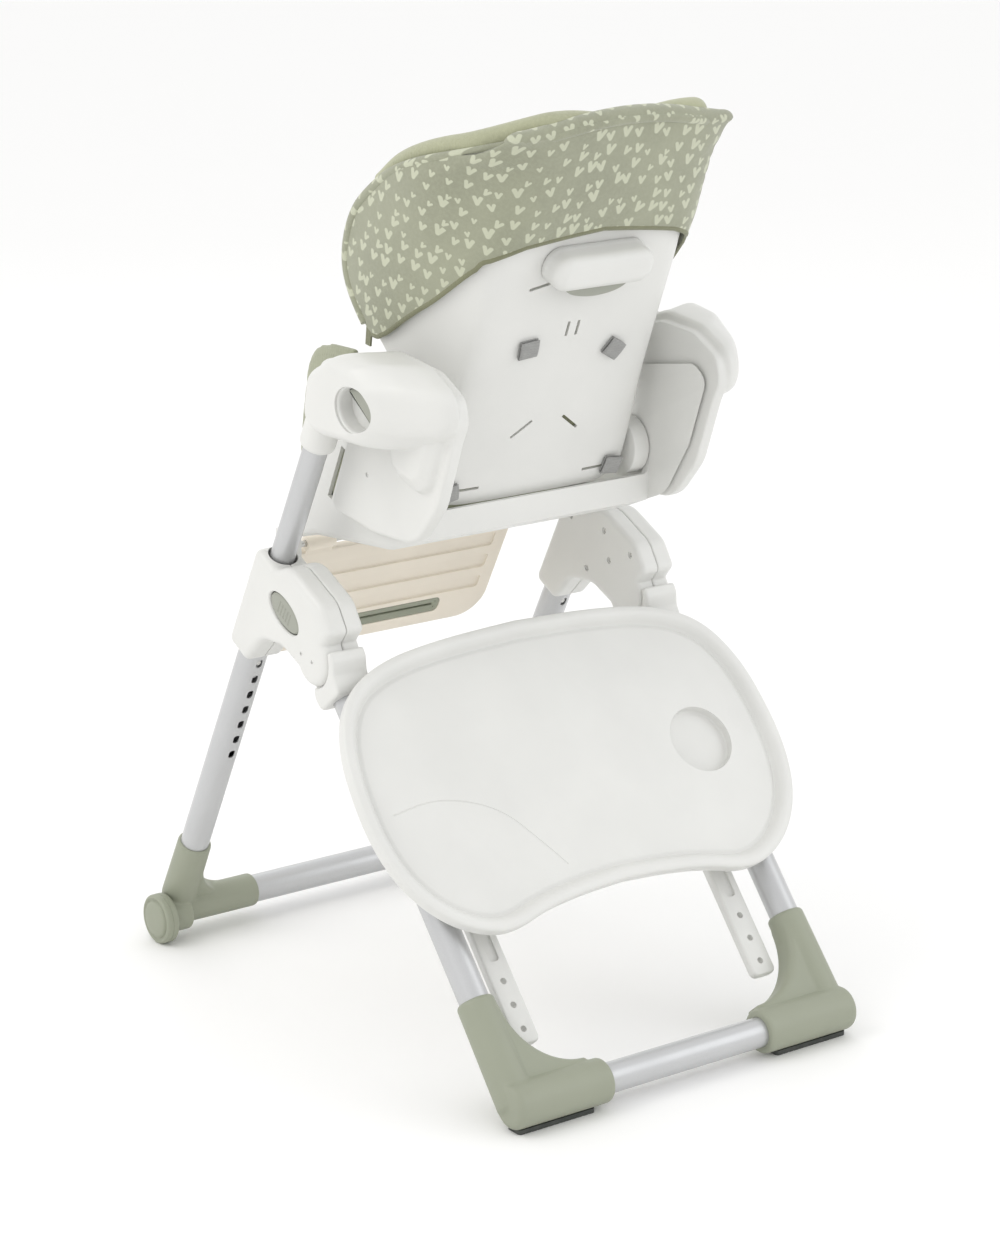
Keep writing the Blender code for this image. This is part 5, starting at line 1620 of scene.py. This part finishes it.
def leg_rest():
    """A ribbed panel with a lined slot, hinged under the seat's front edge."""
    half, long = LEG_REST_HALF, LEG_REST_LONG
    corners = ((-half, 0.012, 0.008), (half, 0.012, 0.008), (half, long, 0.040), (-half, long, 0.040))
    panel = pillow(rounded(corners), -0.006, 0.006, on_leg_rest, 0.003, 0.003)
    knuckles = []
    for x in (-0.12, 0.12):
        knuckles.append(across(x - 0.02, x + 0.02, LEG_REST_AT, 0.0095, chamfer=0.001))
        root, tip = on_leg_rest(x, 0.004), on_leg_rest(x, 0.02)
        knuckles.append(bar(root, tip, X, 0.0195, 0.0055, LEG_REST_OUT))
    cuts = [across(-0.19, 0.19, LEG_REST_AT, ROD_HOLE_R)]
    for low, high in ((0.036, 0.058), (0.072, 0.094), (0.108, 0.128)):
        well = box_outline(-half + 0.02, low, half - 0.02, high, 0.005)
        cuts.append(pillow(well, -0.012, -0.003, on_leg_rest, 0.0, 0.0015))
    cuts.append(pillow(box_outline(-0.102, 0.1345, 0.102, 0.1580, 0.008), -0.02, 0.02, on_leg_rest))
    piece("leg_rest_board", panel, "cream", "leg_rest", "leg_rest_panel", cuts, joins=knuckles)
    rim = box_outline(-0.1016, 0.1349, 0.1016, 0.1576, 0.0076)
    levels = (
        (0, 0.0050), (0, -0.0054), (0.0012, -0.0063), (0.0030, -0.0063), (0.0060, -0.0052), (0.0092, -0.0046),
        (0.0098, -0.0040), (0.0098, 0.0050),
    )
    rows = [[on_leg_rest(p.x, p.y, q) for p in inset(rim, away)] for away, q in levels]
    piece("slot_liner", loft(rows, True), "sage", "leg_rest")


# Tray

TRAY_HALF = [
    (0.0, 0.182), (0.110, 0.178), (0.200, 0.166), (0.262, 0.135), (0.294, 0.075), (0.303, 0.0),
    (0.300, -0.060), (0.284, -0.112), (0.250, -0.156), (0.205, -0.182), (0.165, -0.186),
    (0.120, -0.172), (0.060, -0.164), (0.0, -0.161),
]


# The shallow curved line across the tray's floor
TRAY_SWEEP = ((0.261, -0.018), (0.195, -0.009), (0.122, -0.037), (0.084, -0.091), (0.063, -0.124))


def smooth(points, rounds):
    """An open run of points with its corners cut; its ends stay."""
    for _ in range(rounds):
        cut = [points[0]]
        for p, q in zip(points, points[1:]):
            cut += [p * 0.75 + q * 0.25, p * 0.25 + q * 0.75]
        points = cut + [points[-1]]
    return points


def tray_outline():
    """The tray from above: a bowed front, round ends and a shallow hollow on the child's side."""
    line = smooth([Vector(p) for p in TRAY_HALF], 3)
    return line + [Vector((-p.x, p.y)) for p in line[-2:0:-1]]


def tray():
    outline = tray_outline()
    profile = [
        (0.0085, -0.0125), (0.0083, -0.0160), (0.0070, -0.0170), (0.0025, -0.0170), (0.0012, -0.0160),
        (0.0004, -0.0100), (0.0, -0.0040), (0.0003, -0.0022), (0.0012, -0.0008), (0.0030, 0.0),
        (0.0060, 0.0008), (0.0095, 0.0008), (0.0130, -0.0004), (0.0160, -0.0030), (0.0185, -0.0066),
        (0.0200, -0.0098), (0.0215, -0.0108), (0.0232, -0.0106), (0.0250, -0.0096), (0.0275, -0.0095),
    ]
    rings = [[on_tray(p.x, p.y, h) for p in inset(outline, away)] for away, h in profile]
    cup = Vector((-0.192, -0.014))
    well = pillow(ellipse(cup.x, cup.y, 0.046, 0.046, count=72), -0.0245, -0.011, on_tray, low_r=0.003)
    dip = pillow(ellipse(cup.x, cup.y, 0.043, 0.043, count=72), -0.0215, 0.01, on_tray, low_r=0.003)
    under = [ring_path([on_tray(p.x, p.y, -0.0125) for p in inset(outline, 0.030)], 0.0009)]
    sweep = smooth([Vector(p) for p in TRAY_SWEEP], 4)
    cuts = [dip, tube_path([on_tray(p.x, p.y, -0.0091) for p in sweep], 0.0012)] + under
    piece("tray_top", loft(rings), "white", "tray", "tray_shell", cuts, joins=[well])
    base = box_outline(-0.135, -0.11, 0.135, 0.12, 0.02)
    plate = pillow(base, -0.030, -0.0128, on_tray, low_r=0.004)
    wells = [pillow(inset(base, 0.012), -0.027, -0.0100, on_tray)]
    slot = pillow(box_outline(-0.045, 0.07, 0.045, 0.10, 0.008), -0.035, -0.012, on_tray)
    ribs = [
        pillow(box_outline(a - 0.0011, -0.085, a + 0.0011, 0.050, 0.0008), -0.0315, -0.0288, on_tray)
        for a in (-0.09, -0.045, 0.0, 0.045, 0.09)
    ]
    piece("tray_base", plate, "white", "tray", "tray_underplate", wells + [slot] + ribs)
    lever = pillow(box_outline(-0.040, 0.079, 0.040, 0.097, 0.006), -0.036, -0.0135, on_tray, low_r=0.004)
    grips = [
        pillow(box_outline(a - 0.0012, 0.070, a + 0.0012, 0.11, 0.0008), -0.038, -0.0350, on_tray)
        for a in (-0.024, -0.016, -0.008, 0.0, 0.008, 0.016, 0.024)
    ]
    piece("tray_squeeze", lever, "button", "tray_release", "tray_release_lever", grips)
    for i, (a, b) in enumerate(((-0.115, -0.09), (0.115, -0.09), (-0.115, 0.10), (0.115, 0.10))):
        screw(f"tray_screw_{i}", on_tray(a, b, -0.0304), -REAR_OUT, "tray")
    for name, side in SIDES:
        tray_arm(name, side)


def ring_path(points, radius):
    """A thin closed tube along a loop of points, to cut a parting line with."""
    count = len(points)
    rings = []
    for i, here in enumerate(points):
        along = (points[(i + 1) % count] - points[i - 1]).normalized()
        side = along.cross(REAR_OUT).normalized()
        rings.append([
            here + (side * math.cos(a) + REAR_OUT * math.sin(a)) * radius
            for a in (math.pi / 3 * k for k in range(6))
        ])
    return loft(rings, True)


def tray_arm(name, side):
    """An arm that plugs into the arm rest: it runs under the tray and on past the child's side."""

    def place(a, b, h):
        return on_tray(side * ARM_X + a, b, h)

    outline = box_outline(-ARM_HALF, -0.303, ARM_HALF, 0.105, 0.008)
    arm = pillow(outline, -0.0725, -0.0600, place, 0.003, 0.003)
    webs = [
        pillow(box_outline(-0.005, low, 0.005, high, 0.001), -0.065, -0.0130, place)
        for low, high in ((-0.095, -0.072), (0.040, 0.095))
    ]
    holes = [
        pillow(ellipse(0, b, 0.004, 0.004, count=32), -0.08, -0.05, place) for b in (-0.285, -0.255, -0.225)
    ]
    groove = pillow(box_outline(-0.007, -0.20, 0.007, -0.11, 0.005), -0.0635, -0.055, place, 0.001)
    shallow = pillow(box_outline(-0.010, -0.06, 0.010, 0.095, 0.006), -0.080, -0.0712, place, 0.0, 0.0008)
    cuts = holes + [groove, shallow]
    piece(f"tray_rail_{name}", arm, "white", "tray", f"tray_arm_{name}", cuts, joins=webs)


# Small pieces that keep the frame's own shape, with a better finish


def refinish():
    """Frame nodes whose shape is already right: only their material changes."""
    looks = {
        "wheel_axle": "steel", "fold_pivot_pin": "steel", "height_latch_pin": "steel", "recline_pin": "steel",
        "telescope_bush": "white", "tray_peg": "white", "leg_rest_rod": "steel",
    }
    for name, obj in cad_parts.items():
        look = next((look for stem, look in looks.items() if name.startswith(stem)), None)
        if look:
            obj.data.materials.clear()
            obj.data.materials.append(MATERIAL[look])


# Studio


def studio():
    """A pale floor, soft lights and a camera at three-quarter view from behind the chair's left side."""
    bm = bmesh.new()
    bmesh.ops.create_grid(bm, x_segments=1, y_segments=1, size=14)
    floor = link("floor", bm)
    made = Shader("floor_paint", (0.96, 0.957, 0.950), 0.7)
    made.set("Roughness", made.spread(made.noise(3.0), 0.3, 0.7, 0.62, 0.78))
    floor.data.materials.append(made.material)
    world = bpy.data.worlds.new("studio")
    world.use_nodes = True
    world.node_tree.nodes["Background"].inputs["Color"].default_value = (1.0, 1.0, 1.0, 1)
    world.node_tree.nodes["Background"].inputs["Strength"].default_value = 1.0
    bpy.context.scene.world = world
    bpy.context.scene.view_settings.view_transform = "Standard"
    for name, at, size, power, tint in (
        ("key_light", (3.2, -0.6, 3.4), 2.4, 38, (1.0, 0.985, 0.96)),
        ("fill_light", (-2.6, 2.6, 2.2), 2.6, 20, (0.95, 0.97, 1.0)),
        ("back_light", (-1.0, -3.2, 2.8), 2.0, 10, (1.0, 1.0, 1.0)),
    ):
        data = bpy.data.lights.new(name, "AREA")
        data.size = size
        data.energy = power
        data.color = tint
        lamp = bpy.data.objects.new(name, data)
        lamp.location = at
        aim = Vector((0, 0, 0.5)) - Vector(at)
        lamp.rotation_euler = aim.to_track_quat("-Z", "Y").to_euler()
        bpy.context.scene.collection.objects.link(lamp)
    data = bpy.data.cameras.new("camera")
    data.sensor_width = 36
    data.lens = CAMERA_LENS
    data.clip_end = 60
    camera = bpy.data.objects.new("camera", data)
    level = math.cos(CAMERA_ELEVATION)
    backwards = Vector((
        math.sin(CAMERA_AZIMUTH) * level, -math.cos(CAMERA_AZIMUTH) * level, math.sin(CAMERA_ELEVATION),
    ))
    camera.location = CAMERA_AT
    camera.rotation_euler = backwards.to_track_quat("Z", "Y").to_euler()
    bpy.context.scene.collection.objects.link(camera)
    bpy.context.scene.camera = camera


def main():
    crossbar("front_bar", FRONT_BAR, "front_frame", "front_crossbar")
    crossbar("rear_bar", REAR_BAR, "rear_frame", "rear_crossbar")
    for name, side in SIDES:
        front_leg(name, side)
        front_foot(name, side)
        wheel(name, side)
        joint_covers(name, side)
        knuckle(name, side)
        rear_leg(name, side)
        rear_foot(name, side)
        armrest(name, side)
        upper_tube(name, side)
    seat_shell()
    back_shell()
    hood()
    hood_edges()
    back_pad()
    seat_pad()
    leg_rest_pad()
    handle()
    harness()
    webbing_tabs()
    leg_rest()
    tray()
    refinish()
    studio()


main()
